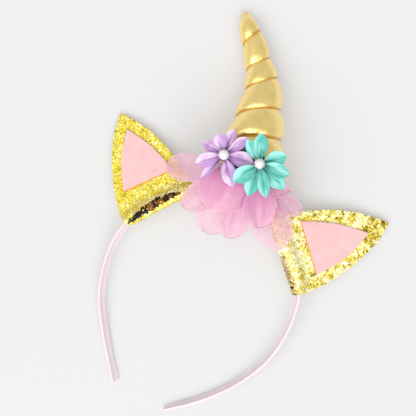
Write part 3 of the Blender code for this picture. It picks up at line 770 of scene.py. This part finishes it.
# Horn
# A cone of soft metallic leatherette, sewn up, stuffed with fibre and bent to one side. A cord wound
# round it from the tip draws the skin into deep grooves, and the stuffing swells between them.
# x, y, z of the axis, radius over the ridges
HORN_AXIS = (
    (-2.0, 21.4, 17.4, 13.0),
    (-2.8, 28.0, 19.0, 17.6),
    (-4.6, 36.5, 19.95, 19.9),
    (-6.8, 45.0, 20.05, 20.15),
    (-8.9, 54.6, 18.45, 18.3),
    (-11.2, 63.5, 16.85, 16.6),
    (-14.0, 72.3, 14.7, 14.2),
    (-17.4, 83.1, 12.9, 12.4),
    (-23.6, 92.7, 10.5, 9.9),
    (-29.6, 100.6, 9.4, 8.7),
    (-35.0, 107.6, 8.7, 7.9),
    (-41.3, 114.8, 7.4, 6.4),
    (-46.3, 121.0, 5.0, 3.6),
    (-47.6, 122.9, 4.7, 2.6),
)
# distance from the base along the axis, turns of the cord counted from the tip
CORD_TURNS = (
    (0.0, 6.6),
    (14.5, 6.0),
    (33.5, 5.0),
    (51.4, 4.0),
    (69.8, 3.0),
    (83.4, 2.0),
    (102.0, 1.0),
    (115.0, 0.35),
)
FRONT_SHARE = (0.52, 0.36)  # share of a turn that the cord climbs on the front, at base and tip
GROOVE_DEPTH = 0.18  # share of the radius
RIDGE_FULLNESS = 0.56  # below 1 the ridges are plumper
RIDGE_LEAN = 1.35  # above 1 a ridge is fullest on the side of the base
GROOVE_MARK = 0.045  # share of a turn over which the skin is painted darker beside the cord, as shade in the groove
HORN_CAPS = ((0, -3.0), (-1, 0.4))  # row that a round cap closes, and how far the cap stands out
CAP_ROWS = 8
HORN_ROWS = 400
HORN_COLUMNS = 150
HORN = with_distance(HORN_AXIS)
HORN_LENGTH = HORN[-1, 0]


def cord_phase(distance, angle):
    """Turns of the cord from the tip: a whole number in the groove.

    It is the turns at that distance, less the share of a turn that the angle has climbed. The angle
    is 0 on the right side, a quarter turn on top and half a turn on the left.
    """
    turns = curve(CORD_TURNS, distance)[..., 0]
    front = np.interp(distance, [0.0, HORN_LENGTH], FRONT_SHARE)
    return turns - angle / (2 * np.pi) + (0.5 - front) * 0.5 * (1 - np.cos(angle))


def horn_spokes(distance, angle):
    """Points of the axis with their radius, and the outward directions at the angles."""
    here = curve(HORN, distance)
    along = heading(HORN, distance)
    side = unit(np.cross(along, UP))
    top = np.cross(side, along)
    return here, side * np.cos(angle)[..., None] + top * np.sin(angle)[..., None], along


def horn_surface():
    """Loops round the bent axis.

    The radius is that of the groove's floor plus a ridge: the sine of half a turn of the leaned
    phase, to the power of the fullness. Pull lines run out of the groove, and the stuffing is lumpy.
    """
    distance, angle = np.meshgrid(
        np.linspace(0, HORN_LENGTH, HORN_ROWS),
        np.linspace(0, 2 * np.pi, HORN_COLUMNS, endpoint=False),
        indexing="ij",
    )
    here, spoke, along = horn_spokes(distance, angle)
    phase = cord_phase(distance, angle)
    turn, share = np.floor(phase), phase - np.floor(phase)
    ridge = np.sin(np.pi * share**RIDGE_LEAN) ** RIDGE_FULLNESS
    radius = here[..., 3]
    sew = angle * 30 / (2 * np.pi)
    pull_base = soft_noise(sew + 13 * turn, turn + 0.5, 21) * np.exp(-(1 - share) * 7)
    pull_tip = soft_noise(sew * 0.8 + 29 * turn, turn + 7.5, 22) * np.exp(-share * 8)
    lumps = soft_noise(angle * 7 / (2 * np.pi), distance / 9, 23) * ridge
    settle = ease(np.minimum(share, 1 - share) / 0.12)
    swell = ridge + 0.10 * (pull_base + 0.6 * pull_tip) * settle + 0.05 * lumps * settle
    radius = radius * (1 - GROOVE_DEPTH + GROOVE_DEPTH * swell)
    grid = here[..., :3] + spoke * radius[..., None]
    bend = np.linspace(0, np.pi / 2, CAP_ROWS + 1)[1:, None, None]
    caps = []
    for row, reach in HORN_CAPS:
        middle = grid[row].mean(axis=0)
        outward = along[row].mean(axis=0) * reach * np.sin(bend)
        caps.append(middle + (grid[row] - middle) * np.maximum(np.cos(bend), 0.03) + outward)
    return np.concatenate([caps[0][::-1], grid, caps[1]]), share


def build_leather_crinkle():
    """Leatherette: a fine pebble, and soft crinkles stretched across it."""
    tree, given, result = new_group(
        "leather_crinkle",
        [("Place", "Vector"), ("Pebble", "Float"), ("Crinkle", "Float")],
        [("Height", "Float"), ("Mottle", "Float")],
    )
    place = given.outputs["Place"]
    pebble = {"Vector": place, "Scale": given.outputs["Pebble"]}
    cells = put(tree, "ShaderNodeTexVoronoi", pebble, feature="SMOOTH_F1")
    folds = {"Vector": place, "Scale": given.outputs["Crinkle"], "Detail": 5.0, "Distortion": 1.2}
    creases = put(tree, "ShaderNodeTexNoise", folds)
    small = put(tree, "ShaderNodeMath", {0: cells.outputs["Distance"], 1: 0.25}, operation="MULTIPLY")
    total = put(tree, "ShaderNodeMath", {0: creases.outputs["Fac"], 1: small.outputs[0]}, operation="ADD")
    tree.links.new(total.outputs[0], result.inputs["Height"])
    tree.links.new(creases.outputs["Fac"], result.inputs["Mottle"])
    return tree


leather_crinkle = build_leather_crinkle()


def leatherette_finish(name, light, deep, groove_shade):
    """Metal foil on cloth, under a soft clear coat: mottled, and painted darker beside the cord as shade.
    """
    constants = {"Metallic": 0.75, "Coat Weight": 0.9, "Coat Roughness": 0.24, "Coat IOR": 1.9}
    material, tree, shader = new_finish(name, constants)
    inputs = {"Place": on_object(tree), "Pebble": 1300.0, "Crinkle": 220.0}
    crinkle = put(tree, "ShaderNodeGroup", inputs, node_tree=leather_crinkle)
    mottle = reached(tree, crinkle.outputs["Mottle"], 0.3, 0.7)
    base = mixed(tree, mottle, deep, light)
    # Painted shade beside the cord.
    base = mixed(tree, mark_of(tree, "groove_shade"), base, groove_shade)
    tree.links.new(base, shader.inputs["Base Color"])
    rough = {"Value": crinkle.outputs["Mottle"], "To Min": 0.24, "To Max": 0.36}
    rough = put(tree, "ShaderNodeMapRange", rough).outputs["Result"]
    tree.links.new(rough, shader.inputs["Roughness"])
    bumped(tree, shader, crinkle.outputs["Height"], 0.0004, 0.55)
    return material


horn_grid, share = horn_surface()
# Painted shade in the groove beside the cord.
groove_shade = np.exp(-((np.minimum(share, 1 - share) / GROOVE_MARK) ** 2))
groove_shade = np.pad(groove_shade, ((CAP_ROWS, CAP_ROWS), (0, 0)), mode="edge")
horn_gold = leatherette_finish(
    "gold_leatherette_skin", colour(255, 230, 146), colour(252, 214, 108), colour(208, 142, 8)
)
mesh = surface("stuffed_horn", horn_grid, wrap=True, ends="face", marks={"groove_shade": groove_shade})
stuffed_horn = add_piece("stuffed_horn", mesh, horn_gold)
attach(stuffed_horn, "root")
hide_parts("horn")


# Horn cord
# A thin gold cord of two strands twisted together, drawn tight in the horn's grooves from near the
# tip to the base.
CORD_RADIUS = 0.36
CORD_ENDS = (0.5, 6.35)  # first and last turn, from the tip
CORD_TWIST = 2.3  # length of one twist
CORD_SEAT = -0.2  # height of the cord's underside over the groove's floor
CORD_STEPS = 1900
CORD_SIDES = 12


def groove_distance(turn, angle):
    """Where the phase is that turn, found by stepping six times towards it."""
    trial = np.linspace(HORN_LENGTH, 0.0, 900)
    turns = curve(CORD_TURNS, trial)[:, 0]
    distance = np.interp(turn + angle / (2 * np.pi), turns, trial)
    for _ in range(6):
        front = np.interp(distance, [0.0, HORN_LENGTH], FRONT_SHARE)
        climbed = angle / (2 * np.pi) - (0.5 - front) * 0.5 * (1 - np.cos(angle))
        distance = np.interp(turn + climbed, turns, trial)
    return distance


def cord_surface():
    """A two-lobed loop that turns as it goes: the radius swings twice round the loop."""
    winding = np.linspace(*CORD_ENDS, CORD_STEPS)
    turn = np.floor(winding)
    angle = (winding - turn) * 2 * np.pi
    here, spoke, _ = horn_spokes(groove_distance(turn, angle), angle)
    radius = here[:, 3] * (1 - GROOVE_DEPTH) + CORD_RADIUS + CORD_SEAT
    route = here[:, :3] + spoke * radius[:, None]
    along = unit(np.gradient(route, axis=0))
    spoke = unit(spoke - along * np.sum(spoke * along, axis=1)[:, None])
    third = np.cross(along, spoke)
    travel = np.r_[0.0, np.cumsum(np.linalg.norm(np.diff(route, axis=0), axis=1))]
    turn_round = np.linspace(0, 2 * np.pi, CORD_SIDES, endpoint=False)
    twist = 2 * np.pi * travel / CORD_TWIST
    swing = np.cos(2 * (turn_round - twist[:, None] / 2))
    size = CORD_RADIUS * (0.86 + 0.18 * swing)
    ring = spoke[:, None] * np.cos(turn_round)[:, None] + third[:, None] * np.sin(turn_round)[:, None]
    return route[:, None] + ring * size[:, :, None], swing


def cord_finish(name, light, deep):
    """Twisted thread: painted shade deep between its two strands, with fine fibres."""
    material, tree, shader = new_finish(name, {"Roughness": 0.4, "Metallic": 0.35})
    # Painted shade between the strands, from the strand mark.
    base = mixed(tree, reached(tree, mark_of(tree, "strand_shade"), -1.0, 0.7), deep, light)
    tree.links.new(base, shader.inputs["Base Color"])
    fibres = put(tree, "ShaderNodeTexNoise", {"Vector": on_cloth(tree), "Scale": 9.0, "Detail": 2.0})
    bumped(tree, shader, fibres.outputs["Fac"], 0.00008, 0.6)
    return material


cord_grid, strand_shade = cord_surface()
gold_cord = cord_finish("twisted_gold_cord", colour(240, 196, 56), colour(150, 92, 8))
mesh = surface("horn_winding", cord_grid, wrap=True, ends="face", marks={"strand_shade": strand_shade})
horn_winding = add_piece("horn_winding", mesh, gold_cord)
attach(horn_winding, "root")
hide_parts("horn_cord")


# Chiffon petals
# Round petals of sheer pink chiffon, cut with a hot edge that leaves a thin bright rim. They are
# gathered under the flowers and lie over one another, so their colour deepens where they overlap.
DRAPE_CENTRE = (-9.0, 27.0)
DRAPE_LOW = 17.5
DRAPE_RISE = 17.8
DRAPE_REACH = 31.0
CHIFFON_THICKNESS = 0.25
CHIFFON_SEAT = 0.5  # height of the lowest layer over the drape
CHIFFON_ROWS = 64
CHIFFON_COLUMNS = 56
LAYER = 1.35
PETAL_ROOT_SHARE = 0.35  # half width at the root, as a share of the widest
DROOP_FROM = 0.55
# name, root x and y, tip x and y, width, share of the length where it is widest, layer, droop, cup, wave,
# the power of the tip's outline, which is round at a half and pointed at more, the opacity, and how
# red its left edge is, seen from the root, where it is turned over
CHIFFON_PETALS = (
    ("over_left_ear", -14.0, 25.0, -51.6, 13.2, 17.6, 0.72, 2, 9.0, 0.5, 0.5, 0.5, 0.45, 0.0),
    ("beside_left_ear", -12.0, 24.0, -31.0, -6.4, 18.6, 0.62, 1, 0.0, 0.8, 0.9, 0.55, 0.5, 0.0),
    ("front_left", -12.0, 28.5, -13.6, -0.4, 31.0, 0.52, 3, 0.0, -1.4, 0.6, 0.52, 0.8, 0.0),
    ("low_front", -9.0, 21.0, -12.4, -14.6, 24.0, 0.64, 0, 0.0, 1.0, 1.0, 0.5, 0.38, 0.0),
    ("middle_front", -2.0, 24.0, 2.2, -11.8, 20.0, 0.66, 2, 0.0, 0.9, 0.7, 0.55, 0.6, 0.0),
    ("front_right", 5.0, 27.5, 17.4, 2.2, 21.4, 0.58, 4, 0.0, 1.6, 0.7, 0.55, 0.8, 1.0),
    ("small_right", 8.0, 26.0, 24.8, 31.0, 12.0, 0.45, 3, 0.0, 1.0, 0.4, 0.8, 0.7, 0.0),
    ("behind_right_ear", 8.0, 24.0, 38.0, 22.0, 12.6, 0.66, 0, 6.0, 0.5, 0.4, 0.5, 0.5, 0.0),
    ("over_right_ear", 4.0, 24.0, 36.0, -3.6, 24.6, 0.62, 1, 0.6, 0.6, 0.6, 0.5, 0.37, 0.0),
)


def drape(points):
    """Height under the petals: a bell round the root, of the distance over the reach, squared."""
    radius = np.linalg.norm(points - DRAPE_CENTRE, axis=-1)
    return DRAPE_LOW + DRAPE_RISE * np.exp(-((radius / DRAPE_REACH) ** 2))


def chiffon_surface(seed, root, tip, width, widest, layer, droop, cup, wave, power, opacity, red):
    """A petal: a swelling root, and past the widest place one less the square, to the power given.

    Its height is the drape plus its layer, less the droop of its far part. Gathers fade from the
    root, the sides lift by the cup times the square of the share across, and slow waves grow
    towards the rim. Its colour is deeper near the root, where the layers gather and painted shade
    falls under the flowers, along creases as painted shade, and in the less sheer petals.
    """
    share = np.sin(np.linspace(0, np.pi / 2, CHIFFON_ROWS)) * 0.9985
    x = np.sin(np.linspace(-np.pi / 2, np.pi / 2, CHIFFON_COLUMNS))
    swell = PETAL_ROOT_SHARE + (1 - PETAL_ROOT_SHARE) * np.sin(share / widest * np.pi / 2)
    rounded = (1 - np.clip((share - widest) / (1 - widest), 0, 1) ** 2) ** power
    half = width / 2 * np.where(share < widest, swell, rounded)
    along = unit(np.subtract(tip, root))
    sideways = np.array([along[1], -along[0]])
    spine = np.array(root) + share[:, None] * np.subtract(tip, root)
    plan = spine[:, None] + (half[:, None] * x)[:, :, None] * sideways
    sag = droop * np.clip((share - DROOP_FROM) / (1 - DROOP_FROM), 0, 1) ** 2
    height = drape(plan) + layer * LAYER + CHIFFON_SEAT - sag[:, None]
    far = ease(share / 0.8)[:, None]
    gathers = 0.7 * np.cos(5 * np.pi * x + seed) * np.exp(-share / 0.22)[:, None]
    waves = wave * soft_noise(share[:, None] * 2.0 + seed, x * 1.5 + 20, 31) * far
    creases = soft_noise(share[:, None] * 1.2 + seed, x * 5 + 40, 32) * far
    height = height + gathers + cup * x**2 * far + waves + 0.35 * creases
    length = np.linalg.norm(np.subtract(tip, root))
    to_side = (1 - np.abs(x)) * half[:, None]
    to_tip = (1 - share)[:, None] * length * 0.5
    rim = 1 - ease(np.minimum(to_side, to_tip) / 0.55)
    # Painted shade: deeper near the root under the flowers and along the creases; the less sheer petals
    # are deeper as cloth.
    depth = np.clip(1.3 - share[:, None] * 1.15 + 0.3 * creases, 0, 1) * opacity / 0.8
    turned = red * np.clip(1 - (1 + x) / 0.14, 0, 1) * ease((share - 0.5) / 0.1)[:, None]
    turned = turned * ease((0.85 - share) / 0.1)[:, None]
    opacity = opacity * (0.8 + 0.2 * depth) + 0.1 * rim
    marks = {"rim": rim, "depth": depth, "opacity": opacity, "turned": turned}
    return np.dstack([plan, height]), marks, length


def chiffon_finish(name, pale, deep, rim, turned):
    """Sheer cloth: thinner and paler towards the tip, with a fine crepe and a denser cut edge."""
    constants = {"Roughness": 0.7, "Sheen Weight": 0.3, "Sheen Roughness": 0.5}
    material, tree, shader = new_finish(name, constants)
    cloth = on_cloth(tree)
    crepe = put(tree, "ShaderNodeTexNoise", {"Vector": cloth, "Scale": 3.2, "Detail": 2.0})
    slow = put(tree, "ShaderNodeTexNoise", {"Vector": cloth, "Scale": 0.16, "Detail": 2.0})
    base = mixed(tree, mark_of(tree, "depth"), pale, deep)
    base = mixed(tree, reached(tree, slow.outputs["Fac"], 0.2, 1.4), base, deep)
    base = mixed(tree, mark_of(tree, "rim"), base, rim)
    base = mixed(tree, mark_of(tree, "turned"), base, turned)
    tree.links.new(base, shader.inputs["Base Color"])
    spots = {"Value": crepe.outputs["Fac"], "To Min": -0.05, "To Max": 0.05}
    alpha = {0: mark_of(tree, "opacity"), 1: put(tree, "ShaderNodeMapRange", spots).outputs["Result"]}
    alpha = put(tree, "ShaderNodeMath", alpha, operation="ADD").outputs[0]
    tree.links.new(alpha, shader.inputs["Alpha"])
    bumped(tree, shader, crepe.outputs["Fac"], 0.00008, 0.4)
    return material


def thicken(piece, thickness):
    """Gives cloth its thickness, half on each side."""
    cloth = piece.modifiers.new("cloth", "SOLIDIFY")
    cloth.thickness = thickness * MM
    cloth.offset = 0.0


pink_chiffon = chiffon_finish(
    "sheer_pink_chiffon",
    colour(244, 200, 213),
    colour(206, 130, 174),
    colour(238, 188, 208),
    colour(226, 96, 90),
)
for number, (name, root_x, root_y, tip_x, tip_y, *form) in enumerate(CHIFFON_PETALS):
    grid, marks, length = chiffon_surface(number * 3.7, (root_x, root_y), (tip_x, tip_y), *form)
    mesh = surface(f"chiffon_{name}", grid, wrap=False, marks=marks)
    petal = add_piece(f"chiffon_{name}", mesh, pink_chiffon)
    thicken(petal, CHIFFON_THICKNESS)
    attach(petal, "root")
    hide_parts(f"chiffon_petal_{name}")


# Flower pad
# An oval of thick dark felt, glued on the horn's root. It carries both flowers, and shows only as a
# dark spot between them.
PAD_CENTRE = (-11.0, 36.0)
PAD_HALF = (16.0, 9.0)
PAD_BOTTOM = 40.7
PAD_THICKNESS = 1.5


def pad_surface():
    """Loops over the edge of a flat oval: the rim bulges by the sine of its turn."""
    turn = np.linspace(0, 2 * np.pi, 96, endpoint=False)
    edge = np.linspace(0, np.pi, 13)
    size = np.r_[0.03, 0.5, 0.9, 0.965 + 0.035 * np.sin(edge), 0.9, 0.5, 0.03]
    lift = np.r_[0, 0, 0, 0.5 - 0.5 * np.cos(edge), 1, 1, 1] * PAD_THICKNESS
    plan = np.stack([np.cos(turn), np.sin(turn)], axis=-1) * PAD_HALF
    points = plan * size[:, None, None] + PAD_CENTRE
    fuzz = 0.05 * soft_noise(points[..., 0] * 2, points[..., 1] * 2, 41)
    return np.dstack([points, np.broadcast_to(lift[:, None], points.shape[:2]) + PAD_BOTTOM + fuzz])


pad_grid = pad_surface()
dark_felt = felt_finish("dark_felt", colour(66, 72, 78), colour(44, 48, 54))
mesh = surface("felt_pad", pad_grid, wrap=True, ends="face", marks={"gold_reflection": 0.0})
felt_pad = add_piece("felt_pad", mesh, dark_felt)
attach(felt_pad, "root")
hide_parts("flower_pad")


# Ribbon petals
# Each flower has eight petals of satin ribbon. A short length is folded to a point at the far end,
# and its two sides are curled in and stitched together under the pearl.
RIBBON_ROOT = 1.6
RIBBON_RISE = 2.4
RIBBON_RIM = 18.0
RIBBON_WIDEST = 0.62
RIBBON_THICKNESS = 0.22
RIBBON_SEAT = 0.5  # height of the lowest layer over the pad
RIBBON_ROWS = 44
RIBBON_COLUMNS = 32
RIBBON_LIGHT = np.array([0.94, -0.34])  # side from which the satin's sheen comes
# share of the length, angle in degrees through which the ribbon curls across
RIBBON_CURL = ((0.0, 310.0), (0.14, 240.0), (0.32, 104.0), (0.55, 46.0), (0.8, 26.0), (1.0, 12.0))
# centre x and y, lowest layer, side that lifts
FLOWERS = {"lilac": ((-21.7, 32.8), 0, -1.0), "mint": ((-0.1, 36.7), 2, 1.0)}
# direction in degrees from +X, length, half width, extra layer, roll in degrees, curl share
RIBBON_PETALS = {
    "lilac": (
        (10.0, 18.6, 5.0, 0, 8, 0.8),
        (61.0, 17.6, 3.6, 1, -26, 1.1),
        (93.0, 16.7, 3.8, 0, 22, 1.0),
        (133.0, 13.0, 4.6, 1, 0, 0.8),
        (175.0, 14.2, 3.8, 0, -6, 0.9),
        (221.5, 17.7, 4.4, 1, 6, 0.7),
        (251.0, 19.7, 3.0, 0, -34, 1.1),
        (311.0, 19.8, 4.8, 0, 4, 0.8),
    ),
    "mint": (
        (141.0, 16.6, 3.4, 0, 24, 1.1),
        (111.0, 18.4, 4.4, 1, 0, 1.0),
        (41.6, 16.8, 4.8, 0, 0, 0.7),
        (4.5, 18.8, 4.6, 1, 14, 0.8),
        (-19.8, 21.0, 4.6, 0, -8, 0.8),
        (-54.4, 20.6, 4.0, 1, 18, 0.9),
        (-85.0, 20.2, 4.4, 0, -10, 0.9),
        (-122.0, 18.8, 4.9, 1, 0, 0.9),
    ),
}


def ribbon_surface(centre, direction, length, half, level, roll, curl_share, lifts):
    """A petal as arcs across its spine.

    The ribbon's width is the arc's length, so the radius is the width over the angle it curls
    through. The angle shrinks from nearly a full turn at the pearl to a slight cup at the tip, and
    the width runs to a point past its widest place. The whole is rolled about its spine. A crease
    runs down the middle and tucks run beside it. The pinch at the pearl, the crease and the tucks are
    painted darker as shade, and the side that faces the light is painted paler.
    """
    share = 1 - (1 - np.linspace(0, 1, RIBBON_ROWS)) ** 1.25
    x = np.linspace(-1, 1, RIBBON_COLUMNS)
    narrow = 0.62 + 0.38 * ease(share / RIBBON_WIDEST)
    past = np.clip((share - RIBBON_WIDEST) / (1 - RIBBON_WIDEST), 0, 1)
    narrow = np.where(share < RIBBON_WIDEST, narrow, 1 - 0.97 * past**2.0)
    angle = np.radians(curve(RIBBON_CURL, share)[:, 0]) * (1 + (curl_share - 1) * ease(share / 0.3))
    widest = np.radians(np.interp(RIBBON_WIDEST, *np.array(RIBBON_CURL).T)) * curl_share / 2
    width = 2 * half * widest / np.sin(widest) * narrow
    radius = (width / angle)[:, None]
    turn = x * angle[:, None] / 2
    side = radius * np.sin(turn)
    rise = radius * (1 - np.cos(turn))
    tilt = np.radians(roll) * ease(share / 0.5)[:, None]
    side, rise = side * np.cos(tilt) - rise * np.sin(tilt), side * np.sin(tilt) + rise * np.cos(tilt)
    along = np.array([np.cos(np.radians(direction)), np.sin(np.radians(direction))])
    sideways = np.array([along[1], -along[0]])
    spine = (RIBBON_ROOT + share * (length - RIBBON_ROOT))[:, None] * along
    plan = spine[:, None] + side[:, :, None] * sideways
    away = np.clip(lifts * plan[..., 0], 0, None) * np.linalg.norm(plan, axis=-1)
    arch = 0.7 * np.sin(np.pi * share)[:, None]
    height = level + RIBBON_RISE * away / RIBBON_RIM**2 + rise + arch
    # Painted shade at the pinch under the pearl.
    pinch_shade = np.exp(-share / 0.11)[:, None] * (1 - 0.3 * x**2)
    wander = 0.12 * soft_noise(share * 2.5 + direction, share * 0 + 3.5, 51)[:, None]
    middle_crease = np.exp(-(np.abs(x - wander) / 0.09)) * np.clip(1 - share / 0.85, 0, 1)[:, None] ** 0.5
    tucks = soft_noise(x * 3.2 + direction + wander * 4, share[:, None] * 1.3 + direction, 52)
    tucks = (1 - np.abs(tucks)) ** 6 * np.clip(1.15 - share, 0, 1)[:, None]
    height = height - (0.9 * middle_crease + 0.5 * tucks) * ease(share / 0.15)[:, None]
    # Painted shade: darker in the pinch, the middle crease and the tucks.
    deep = np.clip(0.9 * pinch_shade + 0.7 * middle_crease + 0.35 * tucks, 0, 1)
    # Painted light: the side of the petal that faces RIBBON_LIGHT is paler, and slow clouds vary it.
    faces_light = 0.5 - 0.8 * (x - wander) * (sideways @ RIBBON_LIGHT) * ease(share / 0.2)[:, None]
    clouds = 0.5 * soft_noise(x * 2.2 + direction, share[:, None] * 4 + direction, 53)
    fold = np.clip(faces_light + clouds, 0, 1)
    return np.dstack([plan + np.array(centre), height]), deep, fold


# Tones of each satin: light for its painted sheen and lit side, middle for its own colour, deep for the
# painted shade in its creases.
SATIN_SHADES = {
    "lilac": (colour(230, 204, 230), colour(186, 142, 198), colour(92, 36, 124)),
    "mint": (colour(154, 228, 218), colour(84, 186, 172), colour(0, 88, 76)),
}
for flower, (centre, lowest, lifts) in FLOWERS.items():
    satin = satin_finish(f"{flower}_satin_ribbon", *SATIN_SHADES[flower], roughness=0.4)
    for number, (direction, length, half, extra, roll, curl) in enumerate(RIBBON_PETALS[flower], 1):
        level = PAD_BOTTOM + PAD_THICKNESS + RIBBON_SEAT + (lowest + extra) * LAYER
        grid, deep, fold = ribbon_surface(centre, direction, length, half, level, roll, curl, lifts)
        name = f"{flower}_ribbon_{number}"
        # The marks carry the painted shade of the creases and the painted lit side of each petal.
        mesh = surface(name, grid, wrap=False, marks={"crease_shade": deep, "fold": fold})
        petal = add_piece(name, mesh, satin)
        thicken(petal, RIBBON_THICKNESS)
        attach(petal, "root")
        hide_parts(f"{flower}_petal_{number}")


# Pearls
# The flowers' centres are round beads with a pearl coat, threaded and sewn through the petals.
PEARL_RADIUS = 3.25
PEARL_TILT = 62.0  # degrees that the thread hole leans from the upright
PEARL_HEIGHTS = {"lilac": 3.6, "mint": 5.2}  # middle above the pad


def pearl_surface(centre, height):
    """A sphere by its two angles, with a dimple at each end of the thread hole, leaned about Y."""
    turn, drop = np.meshgrid(
        np.linspace(0, 2 * np.pi, 64, endpoint=False), np.linspace(0.02, np.pi - 0.02, 48), indexing="xy"
    )
    dimple = 0.5 * np.exp(-((np.minimum(drop, np.pi - drop) / 0.14) ** 2))
    radius = PEARL_RADIUS - dimple
    ball = np.stack([np.sin(drop) * np.cos(turn), np.sin(drop) * np.sin(turn), np.cos(drop)], axis=-1)
    c, s = np.cos(np.radians(PEARL_TILT)), np.sin(np.radians(PEARL_TILT))
    leaned = ball * radius[..., None] @ np.array([[c, 0, -s], [0, 1, 0], [s, 0, c]])
    return leaned + np.array([*centre, PAD_BOTTOM + PAD_THICKNESS + height])


def pearl_finish(name, light, warm, cool):
    """Pearl coat: warm and cool clouds under a clear glaze, painted paler where it faces the eye as
    lustre, and rosier toward its rim.
    """
    constants = {"Roughness": 0.28, "Coat Weight": 0.6, "Coat Roughness": 0.08}
    constants |= {"Subsurface Weight": 0.1, "Subsurface Scale": 0.002}
    material, tree, shader = new_finish(name, constants)
    cloud = put(tree, "ShaderNodeTexNoise", {"Vector": on_object(tree), "Scale": 260.0, "Detail": 2.0})
    tint = mixed(tree, reached(tree, cloud.outputs["Fac"], 0.35, 0.65), warm, cool)
    # Painted lustre: the light tone where the bead faces the eye, the clouded tint toward its rim.
    facing = put(tree, "ShaderNodeLayerWeight", {"Blend": 0.35}).outputs["Facing"]
    tree.links.new(mixed(tree, facing, light, tint), shader.inputs["Base Color"])
    return material


pearl = pearl_finish("pearl_coat", colour(226, 220, 222), colour(206, 188, 194), colour(190, 200, 198))
for flower, height in PEARL_HEIGHTS.items():
    ball = pearl_surface(FLOWERS[flower][0], height)
    mesh = surface(f"{flower}_bead", ball, wrap=True, ends="face")
    bead = add_piece(f"{flower}_bead", mesh, pearl)
    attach(bead, "root")
    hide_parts(f"{flower}_pearl")


# Studio
# A pale light table in a white room. A wide window stands high on the side of the hoop's open ends,
# with one soft lamp below it. It is seen straight from above, turned as the headband lies in view.
VIEW_TURN = 25.0  # degrees that the picture's top is turned from +Y
VIEW_FROM = (-16.76, 0.0, 600.4)
VIEW_WIDTH = 268.3  # width of table in the picture
SENSOR = 36.0
TABLE_REACH = 12.0  # metres from the middle to each side
TABLE_DROP = 0.00005  # metres that the table lies under the frame's floor
LAMP_PLACE = (0.1, -0.8, 0.8)  # metres
LAMP_SIZE = (1.2, 0.35)
LAMP_POWER = 1.4
WINDOW_SIDE = (0.0, -0.44, 0.9)  # direction of the room's window
WINDOW_STRETCH = (0.5, 1, 1)  # the window is twice as wide as it is high
WINDOW_EDGE = (0.8, 0.96)  # how nearly a direction has to face the window, at its rim and in its middle
ROOM_LIGHT = (0.58, 3.0)  # light of the walls and of the window
corners = [(x * TABLE_REACH, y * TABLE_REACH, 0) for x, y in ((-1, -1), (1, -1), (1, 1), (-1, 1))]
table_mesh = bpy.data.meshes.new("table")
table_mesh.from_pydata(corners, [], [(0, 1, 2, 3)])
glow = {"Emission Color": (1.0, 0.995, 1.0, 1), "Emission Strength": 0.25}
table_finish = {"Roughness": 0.9, "Base Color": (0.45, 0.448, 0.45, 1)} | glow
table = add_piece("table", table_mesh, new_finish("pale_table", table_finish)[0])
table.location.z = -TABLE_DROP

lamp = bpy.data.lights.new("key_lamp", "AREA")
lamp.shape = "RECTANGLE"
lamp.size, lamp.size_y = LAMP_SIZE
lamp.energy = LAMP_POWER
lamp_holder = bpy.data.objects.new("key_lamp", lamp)
bpy.context.scene.collection.objects.link(lamp_holder)
lamp_holder.location = LAMP_PLACE
lamp_holder.rotation_euler = (-lamp_holder.location).to_track_quat("-Z", "Y").to_euler()

world = bpy.data.worlds.new("white_room")
world.use_nodes = True
room = world.node_tree
toward = put(room, "ShaderNodeTexCoord").outputs["Generated"]
toward = {0: toward, 1: WINDOW_STRETCH}
toward = put(room, "ShaderNodeVectorMath", toward, operation="MULTIPLY").outputs[0]
toward = put(room, "ShaderNodeVectorMath", {0: toward}, operation="NORMALIZE").outputs[0]
toward = {0: toward, 1: WINDOW_SIDE}
toward = put(room, "ShaderNodeVectorMath", toward, operation="DOT_PRODUCT").outputs["Value"]
light = {"Value": toward}
light |= dict(zip(("From Min", "From Max", "To Min", "To Max"), WINDOW_EDGE + ROOM_LIGHT))
light = put(room, "ShaderNodeMapRange", light, interpolation_type="SMOOTHSTEP").outputs["Result"]
background = room.nodes["Background"]
background.inputs["Color"].default_value = (1, 1, 1, 1)
room.links.new(light, background.inputs["Strength"])
bpy.context.scene.world = world

camera_data = bpy.data.cameras.new("camera")
camera_data.sensor_width = SENSOR
camera_data.lens = SENSOR * VIEW_FROM[2] / VIEW_WIDTH
camera = bpy.data.objects.new("camera", camera_data)
bpy.context.scene.collection.objects.link(camera)
camera.location = (TABLES_AT + VIEW_FROM) * MM
camera.rotation_euler = (0, 0, np.radians(VIEW_TURN))
bpy.context.scene.camera = camera
bpy.context.scene.view_settings.view_transform = "Standard"
